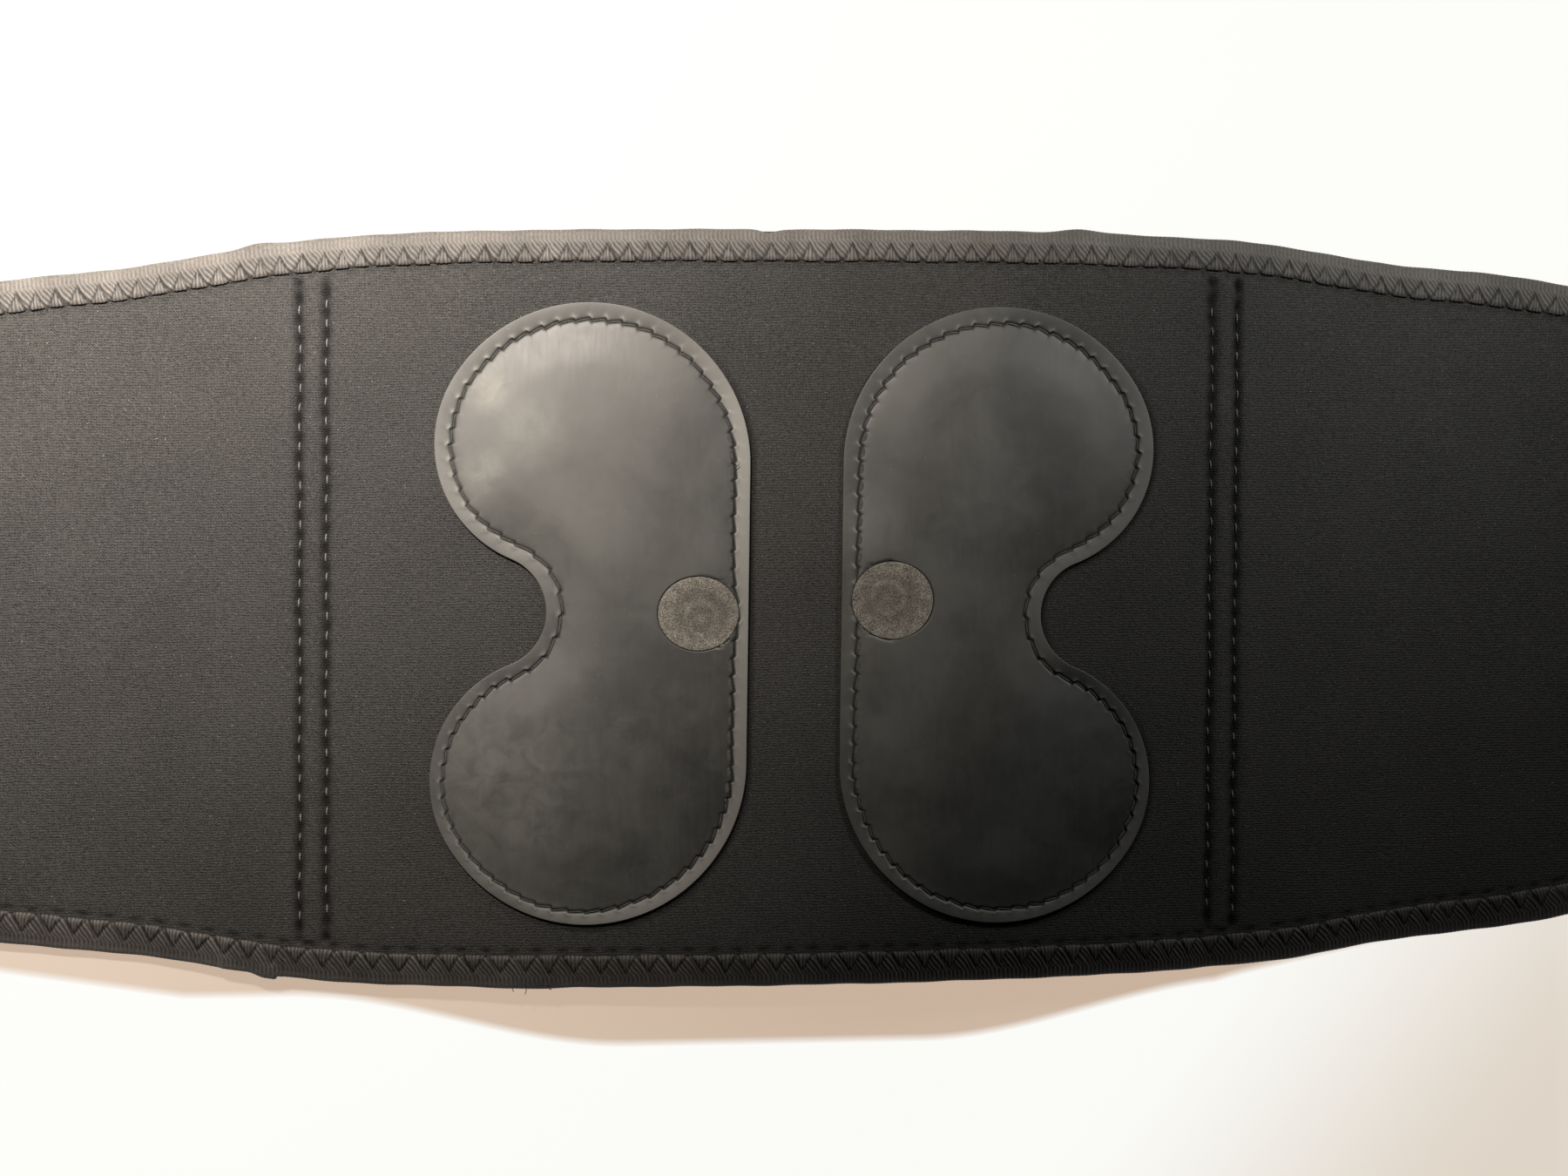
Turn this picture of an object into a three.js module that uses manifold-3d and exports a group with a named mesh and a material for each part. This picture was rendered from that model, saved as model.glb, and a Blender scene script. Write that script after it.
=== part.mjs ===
// Lumbar support belt with two sewn-in contact electrodes.
// The belt lies open and flat with its skin side up: +X runs along the belt, +Y towards its
// upper edge, +Z out of the skin side. The origin is under the middle, on the resting surface.
// All sizes are millimetres.

import * as THREE from 'three';
import { mergeVertices } from 'three/addons/utils/BufferGeometryUtils.js';
import Module from 'manifold-3d';

// ---------------------------------------------------------------- belt blank
const HALF_LENGTH = 537;          // middle of the belt to either tip
const TAIL_HALF_HEIGHT = 57;      // half height that the tapered ends approach
const TAPER_REACH = 235;          // distance from the middle where half the taper is done
const TAPER_POWER = 4;            // how suddenly the blank narrows around that distance
const TIP_RADIUS = 32;            // rounded corners of both tips

// ---------------------------------------------------------------- flex lines
const LUMBAR_LENGTH = 244;        // stiff panel between the two inner flex lines
const SIDE_LENGTH = 190;          // right side wing, inner to outer flex line
const LAP_ALLOWANCE = 7;          // the left side wing is longer, so its tip laps over the right
const FLEX_GAP = 0.4;             // parting between neighbouring segments

// ---------------------------------------------------------------- laminate
const OUTER_FACE_T = 0.7;         // brushed loop fabric on the outside
const CORE_T = 2;                 // neoprene foam
const LINING_T = 0.5;             // knitted lining on the skin side

// ---------------------------------------------------------------- edge binding
const BINDING_T = 0.6;            // one thickness of the ribbed tape
const BINDING_WIDTH = 10;         // width seen on either face
const BINDING_ROUND = 1.6;        // rounding of the fold along the edge

// ---------------------------------------------------------------- stays and their channels
const STAY_SETBACK = 0.5;         // from the edge of a channel to the flex line beside it
const STAY_WIDTH = 5;
const STAY_T = 0.8;
const STAY_CORNER = 1.2;          // rounded corners of the steel strip
const STAY_END_PLAY = 3;          // free length between a tip and the bar tack
const TIP_CAP_WIDTH = 6;
const TIP_CAP_T = 1.6;
const TIP_CAP_LENGTH = 10;
const TIP_CAP_WALL = 2.5;         // nylon beyond the end of the steel
const TIP_CAP_FIT = 0.1;          // cap pocket around the strip
const CHANNEL_TAPE_T = 0.7;
const CHANNEL_CLEARANCE = 0.3;    // around the capped stay
const CHANNEL_LIP = 1.8;          // sewn lip on each side of the channel
const CHANNEL_EASE = 0.6;         // softened corners of the crown
const BAR_TACK = 2;               // closed length at each end of a channel
const BUTT_GAP = 0.3;             // between the end of a tape and its neighbour

// ---------------------------------------------------------------- electrodes
const PAD_WIDTH = 80;
const PAD_HEIGHT = 157.5;
const PAD_BORDER = 6.25;          // lining left free between a pad and the binding
const PAD_WAIST_WIDTH = 51.7;     // from the straight edge to the waist
const PAD_LOBE_R = 31.9;          // tighter radius round the outer side of each lobe
const PAD_LOBE_FROM_DEG = 150;    // turn of the shoulder arc before the lobe arc takes over
const PAD_T = 1.1;
const PAD_EDGE_EASE = 0.25;       // softened rim
const PAD_TURN_DEG = -1.2;        // the pads sit slightly turned, as sewn
const PAD_MID_Y = -1.7;           // mid height of both pads on the belt
const SEAM_INSET = 3.6;           // sewing line from the rim
const SEAM_WIDTH = 0.8;
const SEAM_DEPTH = 0.35;

// ---------------------------------------------------------------- snap fasteners
const SNAP_PITCH = 50;            // between the two studs
const SNAP_MID_X = 5.6;           // the pair sits slightly off the middle
const SNAP_INSET = 13.2;          // from a pad's straight edge
const SNAP_LEFT_Y = -1.5;
const SNAP_RIGHT_Y = 1.5;
const STUD_HEIGHT = 2.9;          // foot to the tip of the head
const STUD_FOOT_R = 4.9;
const STUD_FOOT_T = 0.5;
const STUD_HEAD_R = 1.95;
const STUD_NECK_R = 1.65;
const STUD_HEAD_H = 1.5;          // tip of the head to the neck
const POST_R = 0.9;
const POST_TIP = 1.2;             // the closed end of the stud beyond the post
const POST_CLEARANCE = 0.3;
const EYELET_R = 5;
const EYELET_T = 0.35;
const COVER_R = 9.9;              // round fabric disc over the eyelet
const COVER_RIM_T = 0.5;
const COVER_WEB_T = 0.5;          // cloth over the eyelet
const COVER_SHOULDER_R = 7.4;     // where the rim starts to rise over the eyelet
const COVER_CLEARANCE = 0.3;

// ---------------------------------------------------------------- hook patch
const HOOK_LENGTH = 95;
const HOOK_CORNER_R = 8;
const HOOK_T = 1.4;
const HOOK_MARGIN = 6;            // from the edge binding on three sides

// ---------------------------------------------------------------- resolution of the curves
const EDGE_STEP = 15;             // along the belt edge
const TIP_STEPS = 8;              // along one tip corner
const PAD_ARC_STEPS = 7;          // half the chords along one arc of a pad
const CORNER_STEPS = 3;           // half the chords along a small rounded corner
const TURN_STEPS = 24;            // around a turned piece

// ---------------------------------------------------------------- levels, from the resting surface
const CHANNEL_ROOM = TIP_CAP_T + 2 * CHANNEL_CLEARANCE;
const CHANNEL_DEPTH = CHANNEL_ROOM + CHANNEL_TAPE_T;
const Z_OUTER = Math.max(CHANNEL_DEPTH, STUD_HEIGHT);
const Z_CORE = Z_OUTER + OUTER_FACE_T;
const Z_LINING = Z_CORE + CORE_T;
const Z_SKIN = Z_LINING + LINING_T;
const Z_PAD_TOP = Z_SKIN + PAD_T;

const CENTRE_HALF_HEIGHT = PAD_HEIGHT / 2 + PAD_BORDER + BINDING_WIDTH;
const FLEX_INNER = LUMBAR_LENGTH / 2;
const FLEX_RIGHT = FLEX_INNER + SIDE_LENGTH;
const FLEX_LEFT = FLEX_RIGHT + LAP_ALLOWANCE;

const wasm = await Module();
wasm.setup();

// ---------------------------------------------------------------- solids

function toSolid(geometry) {
  geometry.deleteAttribute('normal');
  geometry.deleteAttribute('uv');
  const merged = mergeVertices(geometry, 1e-4);
  const mesh = new wasm.Mesh({
    numProp: 3,
    vertProperties: new Float32Array(merged.attributes.position.array),
    triVerts: new Uint32Array(merged.index.array),
  });
  return new wasm.Manifold(mesh);
}

function toGeometry(solid) {
  const mesh = solid.getMesh();
  const geometry = new THREE.BufferGeometry();
  geometry.setAttribute('position', new THREE.BufferAttribute(new Float32Array(mesh.vertProperties), 3));
  geometry.setIndex(new THREE.BufferAttribute(new Uint32Array(mesh.triVerts), 1));
  geometry.computeVertexNormals();
  return geometry;
}

function prism(shape, z0, z1, { ease = 0, easeSteps = 1, arcSteps = PAD_ARC_STEPS } = {}) {
  const geometry = new THREE.ExtrudeGeometry(shape, {
    depth: z1 - z0 - 2 * ease,
    bevelEnabled: ease > 0,
    bevelThickness: ease,
    bevelSize: ease,
    bevelOffset: -ease,
    bevelSegments: easeSteps,
    curveSegments: arcSteps,
  });
  geometry.translate(0, 0, z0 + ease);
  return geometry;
}

function block(x0, x1, y0, y1, z0, z1) {
  const geometry = new THREE.BoxGeometry(x1 - x0, y1 - y0, z1 - z0);
  geometry.translate((x0 + x1) / 2, (y0 + y1) / 2, (z0 + z1) / 2);
  return toSolid(geometry);
}

function turned(profile) {
  const geometry = new THREE.LatheGeometry(profile.map(([r, z]) => new THREE.Vector2(r, z)), TURN_STEPS);
  geometry.rotateX(Math.PI / 2);
  return toGeometry(toSolid(geometry));
}

// ---------------------------------------------------------------- outline of the blank

function halfHeight(x) {
  const rise = CENTRE_HALF_HEIGHT - TAIL_HALF_HEIGHT;
  return TAIL_HALF_HEIGHT + rise / (1 + (Math.abs(x) / TAPER_REACH) ** TAPER_POWER);
}

function blankOutline() {
  const reach = HALF_LENGTH - TIP_RADIUS;
  const drop = halfHeight(reach) - TIP_RADIUS;
  const steps = Math.round((2 * reach) / EDGE_STEP);
  const points = [];
  const corner = (cx, cy, from) => {
    for (let i = 0; i < TIP_STEPS; i += 1) {
      const a = from + (i / TIP_STEPS) * (Math.PI / 2);
      points.push(new THREE.Vector2(cx + TIP_RADIUS * Math.cos(a), cy + TIP_RADIUS * Math.sin(a)));
    }
  };
  corner(reach, -drop, -Math.PI / 2);
  corner(reach, drop, 0);
  for (let i = 0; i < steps; i += 1) {
    const x = reach - (i / steps) * 2 * reach;
    points.push(new THREE.Vector2(x, halfHeight(x)));
  }
  corner(-reach, drop, Math.PI / 2);
  corner(-reach, -drop, Math.PI);
  for (let i = 0; i < steps; i += 1) {
    const x = -reach + (i / steps) * 2 * reach;
    points.push(new THREE.Vector2(x, -halfHeight(x)));
  }
  return points;
}

function inset(points, distance) {
  const count = points.length;
  return points.map((point, i) => {
    const before = points[(i + count - 1) % count];
    const after = points[(i + 1) % count];
    const a = point.clone().sub(before).normalize();
    const b = after.clone().sub(point).normalize();
    const inward = new THREE.Vector2(-a.y - b.y, a.x + b.x).normalize();
    const spread = inward.dot(new THREE.Vector2(-a.y, a.x));
    return point.clone().addScaledVector(inward, distance / spread);
  });
}

// ---------------------------------------------------------------- laminate and binding

const outline = blankOutline();
const laminateShape = new THREE.Shape(inset(outline, BINDING_T));
const windowShape = new THREE.Shape(inset(outline, BINDING_WIDTH));
const bindingShape = new THREE.Shape(outline);

const snaps = [
  { side: 'left', sign: -1, x: SNAP_MID_X - SNAP_PITCH / 2, y: SNAP_LEFT_Y },
  { side: 'right', sign: 1, x: SNAP_MID_X + SNAP_PITCH / 2, y: SNAP_RIGHT_Y },
];

function postHole(x, y) {
  const geometry = new THREE.CylinderGeometry(
    POST_R + POST_CLEARANCE, POST_R + POST_CLEARANCE, 2 * Z_PAD_TOP, TURN_STEPS);
  geometry.rotateX(Math.PI / 2);
  geometry.translate(x, y, Z_PAD_TOP);
  return toSolid(geometry);
}

function layer(z0, z1) {
  let solid = toSolid(prism(laminateShape, z0, z1));
  for (const snap of snaps) {
    solid = solid.subtract(postHole(snap.x, snap.y));
  }
  return solid;
}

const outerFace = layer(Z_OUTER, Z_CORE);
const core = layer(Z_CORE, Z_LINING);
const lining = layer(Z_LINING, Z_SKIN);

const bindingFold = { ease: BINDING_ROUND, easeSteps: 3 };
const bindingBlank = toSolid(prism(bindingShape, Z_OUTER - BINDING_T, Z_SKIN + BINDING_T, bindingFold));
const binding = bindingBlank
  .subtract(toSolid(prism(laminateShape, Z_OUTER, Z_SKIN)))
  .subtract(toSolid(prism(windowShape, Z_OUTER - 2 * BINDING_T, Z_SKIN + 2 * BINDING_T)));

const segments = [
  { name: 'left_front', x0: -HALF_LENGTH, x1: -FLEX_LEFT, tip: -1 },
  { name: 'left_side', x0: -FLEX_LEFT, x1: -FLEX_INNER, tip: 0 },
  { name: 'lumbar', x0: -FLEX_INNER, x1: FLEX_INNER, tip: 0 },
  { name: 'right_side', x0: FLEX_INNER, x1: FLEX_RIGHT, tip: 0 },
  { name: 'right_front', x0: FLEX_RIGHT, x1: HALF_LENGTH, tip: 1 },
];

function cell(segment, y0, y1) {
  const play = FLEX_GAP / 2;
  const x0 = segment.tip < 0 ? segment.x0 - play : segment.x0 + play;
  const x1 = segment.tip > 0 ? segment.x1 + play : segment.x1 - play;
  return block(x0, x1, y0, y1, -1, 2 * Z_PAD_TOP);
}

// ---------------------------------------------------------------- materials

const materials = {
  lining: new THREE.MeshStandardMaterial({ color: 0x2b2928, roughness: 0.95, metalness: 0 }),
  foam: new THREE.MeshStandardMaterial({ color: 0x161616, roughness: 0.9, metalness: 0 }),
  loop: new THREE.MeshStandardMaterial({ color: 0x1f1e1e, roughness: 1, metalness: 0 }),
  binding: new THREE.MeshStandardMaterial({ color: 0x191918, roughness: 0.9, metalness: 0 }),
  tape: new THREE.MeshStandardMaterial({ color: 0x202020, roughness: 0.9, metalness: 0 }),
  electrode: new THREE.MeshStandardMaterial({ color: 0x3a3835, roughness: 0.5, metalness: 0 }),
  cover: new THREE.MeshStandardMaterial({ color: 0x6e655c, roughness: 1, metalness: 0 }),
  steel: new THREE.MeshStandardMaterial({ color: 0xb9bbbd, roughness: 0.35, metalness: 1 }),
  nylon: new THREE.MeshStandardMaterial({ color: 0xd8d6d0, roughness: 0.6, metalness: 0 }),
  hook: new THREE.MeshStandardMaterial({ color: 0x141414, roughness: 0.85, metalness: 0 }),
};

const belt = new THREE.Group();

function addPiece(group, name, geometry, material) {
  const mesh = new THREE.Mesh(geometry, material);
  mesh.name = name;
  group.add(mesh);
  return mesh;
}

const groups = {};
const farY = 2 * CENTRE_HALF_HEIGHT;
for (const segment of segments) {
  const group = new THREE.Group();
  const whole = cell(segment, -farY, farY);
  addPiece(group, `${segment.name}_lining`, toGeometry(lining.intersect(whole)), materials.lining);
  addPiece(group, `${segment.name}_core`, toGeometry(core.intersect(whole)), materials.foam);
  addPiece(group, `${segment.name}_outer_face`, toGeometry(outerFace.intersect(whole)), materials.loop);
  if (segment.tip === 0) {
    const above = binding.intersect(cell(segment, 0, farY));
    const below = binding.intersect(cell(segment, -farY, 0));
    addPiece(group, `${segment.name}_binding_top`, toGeometry(above), materials.binding);
    addPiece(group, `${segment.name}_binding_bottom`, toGeometry(below), materials.binding);
  } else {
    addPiece(group, `${segment.name}_binding`, toGeometry(binding.intersect(whole)), materials.binding);
  }
  groups[segment.name] = group;
  belt.add(group);
}

// ---------------------------------------------------------------- electrodes

// One pad outline, a closed chain of tangent arcs: straight edge, shoulder, lobe, waist, lobe,
// shoulder. The shoulder radius follows from the width and the waist radius from the waist's
// width. The local origin is on the snap, and `sign` says which way the lobes point.
function padShape(sign, lift, inward) {
  const lobe = PAD_LOBE_R;
  const lean = THREE.MathUtils.degToRad(PAD_LOBE_FROM_DEG);
  const shoulder = (PAD_WIDTH - lobe * (1 + Math.cos(lean))) / (1 - Math.cos(lean));
  const rise = PAD_HEIGHT / 2 - shoulder;
  const lobeX = shoulder - (shoulder - lobe) * Math.cos(lean);
  const lobeY = rise + (shoulder - lobe) * Math.sin(lean);
  const nip = PAD_WAIST_WIDTH - lobeX;
  const waist = (nip ** 2 + lobeY ** 2 - lobe ** 2) / (2 * (lobe - nip));
  const drop = Math.asin(lobeY / (lobe + waist));
  const waistX = PAD_WAIST_WIDTH + waist;
  const shape = new THREE.Shape();
  const arc = (u, v, radius, from, to, clockwise) => {
    const start = sign > 0 ? from : Math.PI - from;
    const end = sign > 0 ? to : Math.PI - to;
    const turn = sign > 0 ? clockwise : !clockwise;
    shape.absarc(sign * (u - SNAP_INSET), v + lift, radius, start, end, turn);
  };
  shape.moveTo(sign * (inward - SNAP_INSET), lift - rise);
  shape.lineTo(sign * (inward - SNAP_INSET), lift + rise);
  arc(shoulder, rise, shoulder - inward, Math.PI, Math.PI - lean, true);
  arc(lobeX, lobeY, lobe - inward, Math.PI - lean, -drop, true);
  arc(waistX, 0, waist + inward, Math.PI - drop, Math.PI + drop, false);
  arc(lobeX, -lobeY, lobe - inward, drop, lean - Math.PI, true);
  arc(shoulder, -rise, shoulder - inward, lean - Math.PI, -Math.PI, true);
  return shape;
}

function padSolid(sign, lift) {
  const body = toSolid(prism(padShape(sign, lift, 0), Z_SKIN, Z_PAD_TOP, { ease: PAD_EDGE_EASE }));
  const seamOuter = padShape(sign, lift, SEAM_INSET - SEAM_WIDTH / 2);
  const seamInner = padShape(sign, lift, SEAM_INSET + SEAM_WIDTH / 2);
  const ring = toSolid(prism(seamOuter, Z_PAD_TOP - SEAM_DEPTH, 2 * Z_PAD_TOP));
  const island = toSolid(prism(seamInner, Z_PAD_TOP - 2 * SEAM_DEPTH, 3 * Z_PAD_TOP));
  return body.subtract(ring.subtract(island)).subtract(postHole(0, 0));
}

// ---------------------------------------------------------------- snap fasteners

const socketR = POST_R + POST_CLEARANCE;
const studTip = Z_OUTER - STUD_HEIGHT;
const studProfile = [
  [0, studTip],
  [0.65 * STUD_HEAD_R, studTip],
  [0.92 * STUD_HEAD_R, studTip + 0.2 * STUD_HEAD_H],
  [STUD_HEAD_R, studTip + 0.55 * STUD_HEAD_H],
  [STUD_NECK_R, studTip + STUD_HEAD_H],
  [STUD_NECK_R, Z_OUTER - STUD_FOOT_T],
  [STUD_FOOT_R, Z_OUTER - 0.6 * STUD_FOOT_T],
  [STUD_FOOT_R, Z_OUTER],
  [socketR, Z_OUTER],
  [socketR, studTip + POST_TIP - POST_CLEARANCE],
  [0, studTip + POST_TIP - POST_CLEARANCE],
];
const eyeletTop = Z_PAD_TOP + EYELET_T;
const eyeletProfile = [
  [0, studTip + POST_TIP],
  [POST_R, studTip + POST_TIP],
  [POST_R, Z_PAD_TOP],
  [EYELET_R, Z_PAD_TOP],
  [EYELET_R, Z_PAD_TOP + 0.6 * EYELET_T],
  [EYELET_R - 0.4 * EYELET_T, eyeletTop],
  [0, eyeletTop],
];
const pocketR = EYELET_R + COVER_CLEARANCE;
const pocketTop = eyeletTop + COVER_CLEARANCE;
const coverTop = pocketTop + COVER_WEB_T;
const coverProfile = [
  [0, pocketTop],
  [pocketR, pocketTop],
  [pocketR, Z_PAD_TOP],
  [COVER_R, Z_PAD_TOP],
  [COVER_R, Z_PAD_TOP + 0.75 * COVER_RIM_T],
  [COVER_R - 0.25 * COVER_RIM_T, Z_PAD_TOP + COVER_RIM_T],
  [COVER_SHOULDER_R, Z_PAD_TOP + COVER_RIM_T + 0.15 * COVER_WEB_T],
  [pocketR - COVER_CLEARANCE, coverTop],
  [0, coverTop],
];

for (const snap of snaps) {
  const lift = PAD_MID_Y - snap.y;
  const station = new THREE.Group();
  station.position.set(snap.x, snap.y, 0);
  station.rotation.z = THREE.MathUtils.degToRad(PAD_TURN_DEG);
  addPiece(station, `electrode_${snap.side}`, toGeometry(padSolid(snap.sign, lift)), materials.electrode);
  addPiece(station, `snap_stud_${snap.side}`, turned(studProfile), materials.steel);
  addPiece(station, `snap_eyelet_${snap.side}`, turned(eyeletProfile), materials.steel);
  addPiece(station, `snap_cover_${snap.side}`, turned(coverProfile), materials.cover);
  groups.lumbar.add(station);
}

// ---------------------------------------------------------------- stays in their channels

const roomHalf = TIP_CAP_WIDTH / 2 + CHANNEL_CLEARANCE;
const crownHalf = roomHalf + CHANNEL_TAPE_T;
const channelHalfWidth = crownHalf + CHANNEL_LIP;
const stayX = FLEX_INNER - FLEX_GAP / 2 - STAY_SETBACK - channelHalfWidth;
const channelHalfLength = halfHeight(stayX + channelHalfWidth) - BINDING_WIDTH - BUTT_GAP;
const stayHalfLength = channelHalfLength - BAR_TACK - STAY_END_PLAY - TIP_CAP_WALL;
const zCrown = Z_OUTER - CHANNEL_DEPTH;
const zStay = Z_OUTER - CHANNEL_CLEARANCE - TIP_CAP_T / 2;

// The channel is one tape pressed into a hat section: two sewn lips and a hollow crown, with a
// bar tack closing each end.
function channelGeometry() {
  const zLip = Z_OUTER - CHANNEL_TAPE_T;
  const hat = new THREE.Shape();
  hat.moveTo(-channelHalfWidth, Z_OUTER);
  hat.lineTo(-channelHalfWidth, zLip);
  hat.lineTo(-crownHalf, zLip);
  hat.lineTo(-crownHalf, zCrown + CHANNEL_EASE);
  hat.lineTo(-crownHalf + CHANNEL_EASE, zCrown);
  hat.lineTo(crownHalf - CHANNEL_EASE, zCrown);
  hat.lineTo(crownHalf, zCrown + CHANNEL_EASE);
  hat.lineTo(crownHalf, zLip);
  hat.lineTo(channelHalfWidth, zLip);
  hat.lineTo(channelHalfWidth, Z_OUTER);
  hat.closePath();
  const bar = new THREE.ExtrudeGeometry(hat, { depth: 2 * channelHalfLength, bevelEnabled: false });
  bar.rotateX(Math.PI / 2);
  bar.translate(0, channelHalfLength, 0);
  const reach = channelHalfLength - BAR_TACK;
  const room = block(-roomHalf, roomHalf, -reach, reach, zCrown + CHANNEL_TAPE_T, 2 * Z_OUTER);
  return toGeometry(toSolid(bar).subtract(room));
}

function stayShape() {
  const w = STAY_WIDTH / 2;
  const c = STAY_CORNER;
  const l = stayHalfLength;
  const shape = new THREE.Shape();
  shape.moveTo(-w, -l + c);
  shape.absarc(-w + c, -l + c, c, Math.PI, 1.5 * Math.PI, false);
  shape.absarc(w - c, -l + c, c, 1.5 * Math.PI, 2 * Math.PI, false);
  shape.absarc(w - c, l - c, c, 0, 0.5 * Math.PI, false);
  shape.absarc(-w + c, l - c, c, 0.5 * Math.PI, Math.PI, false);
  return shape;
}

function capGeometry(end) {
  const w = TIP_CAP_WIDTH / 2;
  const tip = stayHalfLength + TIP_CAP_WALL;
  const shape = new THREE.Shape();
  shape.moveTo(-w, tip - TIP_CAP_LENGTH);
  shape.lineTo(w, tip - TIP_CAP_LENGTH);
  shape.lineTo(w, tip - w);
  shape.absarc(0, tip - w, w, 0, Math.PI, false);
  shape.closePath();
  const round = { arcSteps: CORNER_STEPS };
  const body = toSolid(prism(shape, zStay - TIP_CAP_T / 2, zStay + TIP_CAP_T / 2, round));
  const half = STAY_WIDTH / 2 + TIP_CAP_FIT;
  const pocketHalf = STAY_T / 2 + TIP_CAP_FIT;
  const pocket = block(-half, half, 0, stayHalfLength + TIP_CAP_FIT, zStay - pocketHalf, zStay + pocketHalf);
  const geometry = toGeometry(body.subtract(pocket));
  if (end < 0) {
    geometry.rotateZ(Math.PI);
  }
  return geometry;
}

for (const [side, sign] of [['left', -1], ['right', 1]]) {
  const station = new THREE.Group();
  station.position.set(sign * stayX, 0, 0);
  addPiece(station, `stay_channel_${side}`, channelGeometry(), materials.tape);
  const strip = prism(stayShape(), zStay - STAY_T / 2, zStay + STAY_T / 2, { arcSteps: CORNER_STEPS });
  addPiece(station, `stay_${side}`, toGeometry(toSolid(strip)), materials.steel);
  addPiece(station, `stay_cap_${side}_top`, capGeometry(1), materials.nylon);
  addPiece(station, `stay_cap_${side}_bottom`, capGeometry(-1), materials.nylon);
  groups.lumbar.add(station);
}

// ---------------------------------------------------------------- hook patch

const hookTip = HALF_LENGTH - BINDING_WIDTH - HOOK_MARGIN;
const hookHalfHeight = halfHeight(hookTip) - BINDING_WIDTH - HOOK_MARGIN;

function hookShape() {
  const w = HOOK_LENGTH / 2 - HOOK_CORNER_R;
  const h = hookHalfHeight - HOOK_CORNER_R;
  const shape = new THREE.Shape();
  shape.moveTo(-w, -hookHalfHeight);
  shape.absarc(w, -h, HOOK_CORNER_R, -0.5 * Math.PI, 0, false);
  shape.absarc(w, h, HOOK_CORNER_R, 0, 0.5 * Math.PI, false);
  shape.absarc(-w, h, HOOK_CORNER_R, 0.5 * Math.PI, Math.PI, false);
  shape.absarc(-w, -h, HOOK_CORNER_R, Math.PI, 1.5 * Math.PI, false);
  return shape;
}

const hookSolid = toSolid(prism(hookShape(), Z_SKIN, Z_SKIN + HOOK_T, { arcSteps: CORNER_STEPS }));
const hook = addPiece(groups.left_front, 'left_hook_patch', toGeometry(hookSolid), materials.hook);
hook.position.x = HOOK_LENGTH / 2 - hookTip;

export default belt;
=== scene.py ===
"""Looks of the lumbar support belt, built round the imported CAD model.

Lengths are in millimetres until a mesh is made. A place near the belt's edge is given by its run s
along the outline, from the middle of the left tip over the top, round the right tip and back below,
and by its distance d inwards from there.
"""
import math

import bpy
import numpy as np
from mathutils import Matrix, Vector
from mathutils.geometry import delaunay_2d_cdt


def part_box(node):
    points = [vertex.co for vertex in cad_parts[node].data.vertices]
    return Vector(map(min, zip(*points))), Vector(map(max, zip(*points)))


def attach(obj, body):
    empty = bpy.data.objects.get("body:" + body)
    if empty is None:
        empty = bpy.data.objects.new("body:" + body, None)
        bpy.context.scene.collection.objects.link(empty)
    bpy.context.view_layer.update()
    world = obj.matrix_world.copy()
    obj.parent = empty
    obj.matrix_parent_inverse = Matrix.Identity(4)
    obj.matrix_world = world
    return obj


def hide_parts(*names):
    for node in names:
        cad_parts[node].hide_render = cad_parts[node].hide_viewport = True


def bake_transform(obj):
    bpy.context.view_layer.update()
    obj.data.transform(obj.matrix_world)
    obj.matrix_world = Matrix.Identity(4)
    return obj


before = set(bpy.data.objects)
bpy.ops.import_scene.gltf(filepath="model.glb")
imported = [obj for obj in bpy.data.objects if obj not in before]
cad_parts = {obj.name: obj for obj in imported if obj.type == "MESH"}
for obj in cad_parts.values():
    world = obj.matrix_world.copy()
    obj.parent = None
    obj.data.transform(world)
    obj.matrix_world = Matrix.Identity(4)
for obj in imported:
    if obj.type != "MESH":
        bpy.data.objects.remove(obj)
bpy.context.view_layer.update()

MM = 0.001
PI = math.pi
rng = np.random.default_rng(71)


def box_mm(node):
    lo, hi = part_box(node)
    return np.array(lo) / MM, np.array(hi) / MM


# ---- sizes, read from the CAD boxes

Z_LINING, Z_SKIN = (corner[2] for corner in box_mm("lumbar_lining"))
Z_CORE = box_mm("lumbar_core")[0][2]
Z_OUTER = box_mm("lumbar_outer_face")[0][2]
BIND_LO, BIND_HI = box_mm("lumbar_binding_top")
Z_BIND_LO, Z_BIND_HI, MID_HALF = BIND_LO[2], BIND_HI[2], BIND_HI[1]
HALF_LENGTH = box_mm("right_front_binding")[1][0]
STAY_LO, STAY_HI = box_mm("stay_channel_right")
STAY_X = (STAY_LO[0] + STAY_HI[0]) / 2
PADS = {side: box_mm(f"electrode_{side}") for side in ("left", "right")}
COVERS = {side: box_mm(f"snap_cover_{side}") for side in PADS}
SNAP = {side: (lo + hi)[:2] / 2 for side, (lo, hi) in COVERS.items()}
COVER_R = (COVERS["left"][1][0] - COVERS["left"][0][0]) / 2
Z_PAD = COVERS["left"][0][2]
EYELET_LO, EYELET_HI = box_mm("snap_eyelet_left")
EYELET_R, Z_EYELET = (EYELET_HI[0] - EYELET_LO[0]) / 2, EYELET_HI[2]
PAD_T = Z_PAD - Z_SKIN

# the belt's outline, as the part has it
END_HALF, TAPER_REACH, TIP_RADIUS = 57.0, 235.0, 32.0
TIP_X = HALF_LENGTH - TIP_RADIUS

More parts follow.
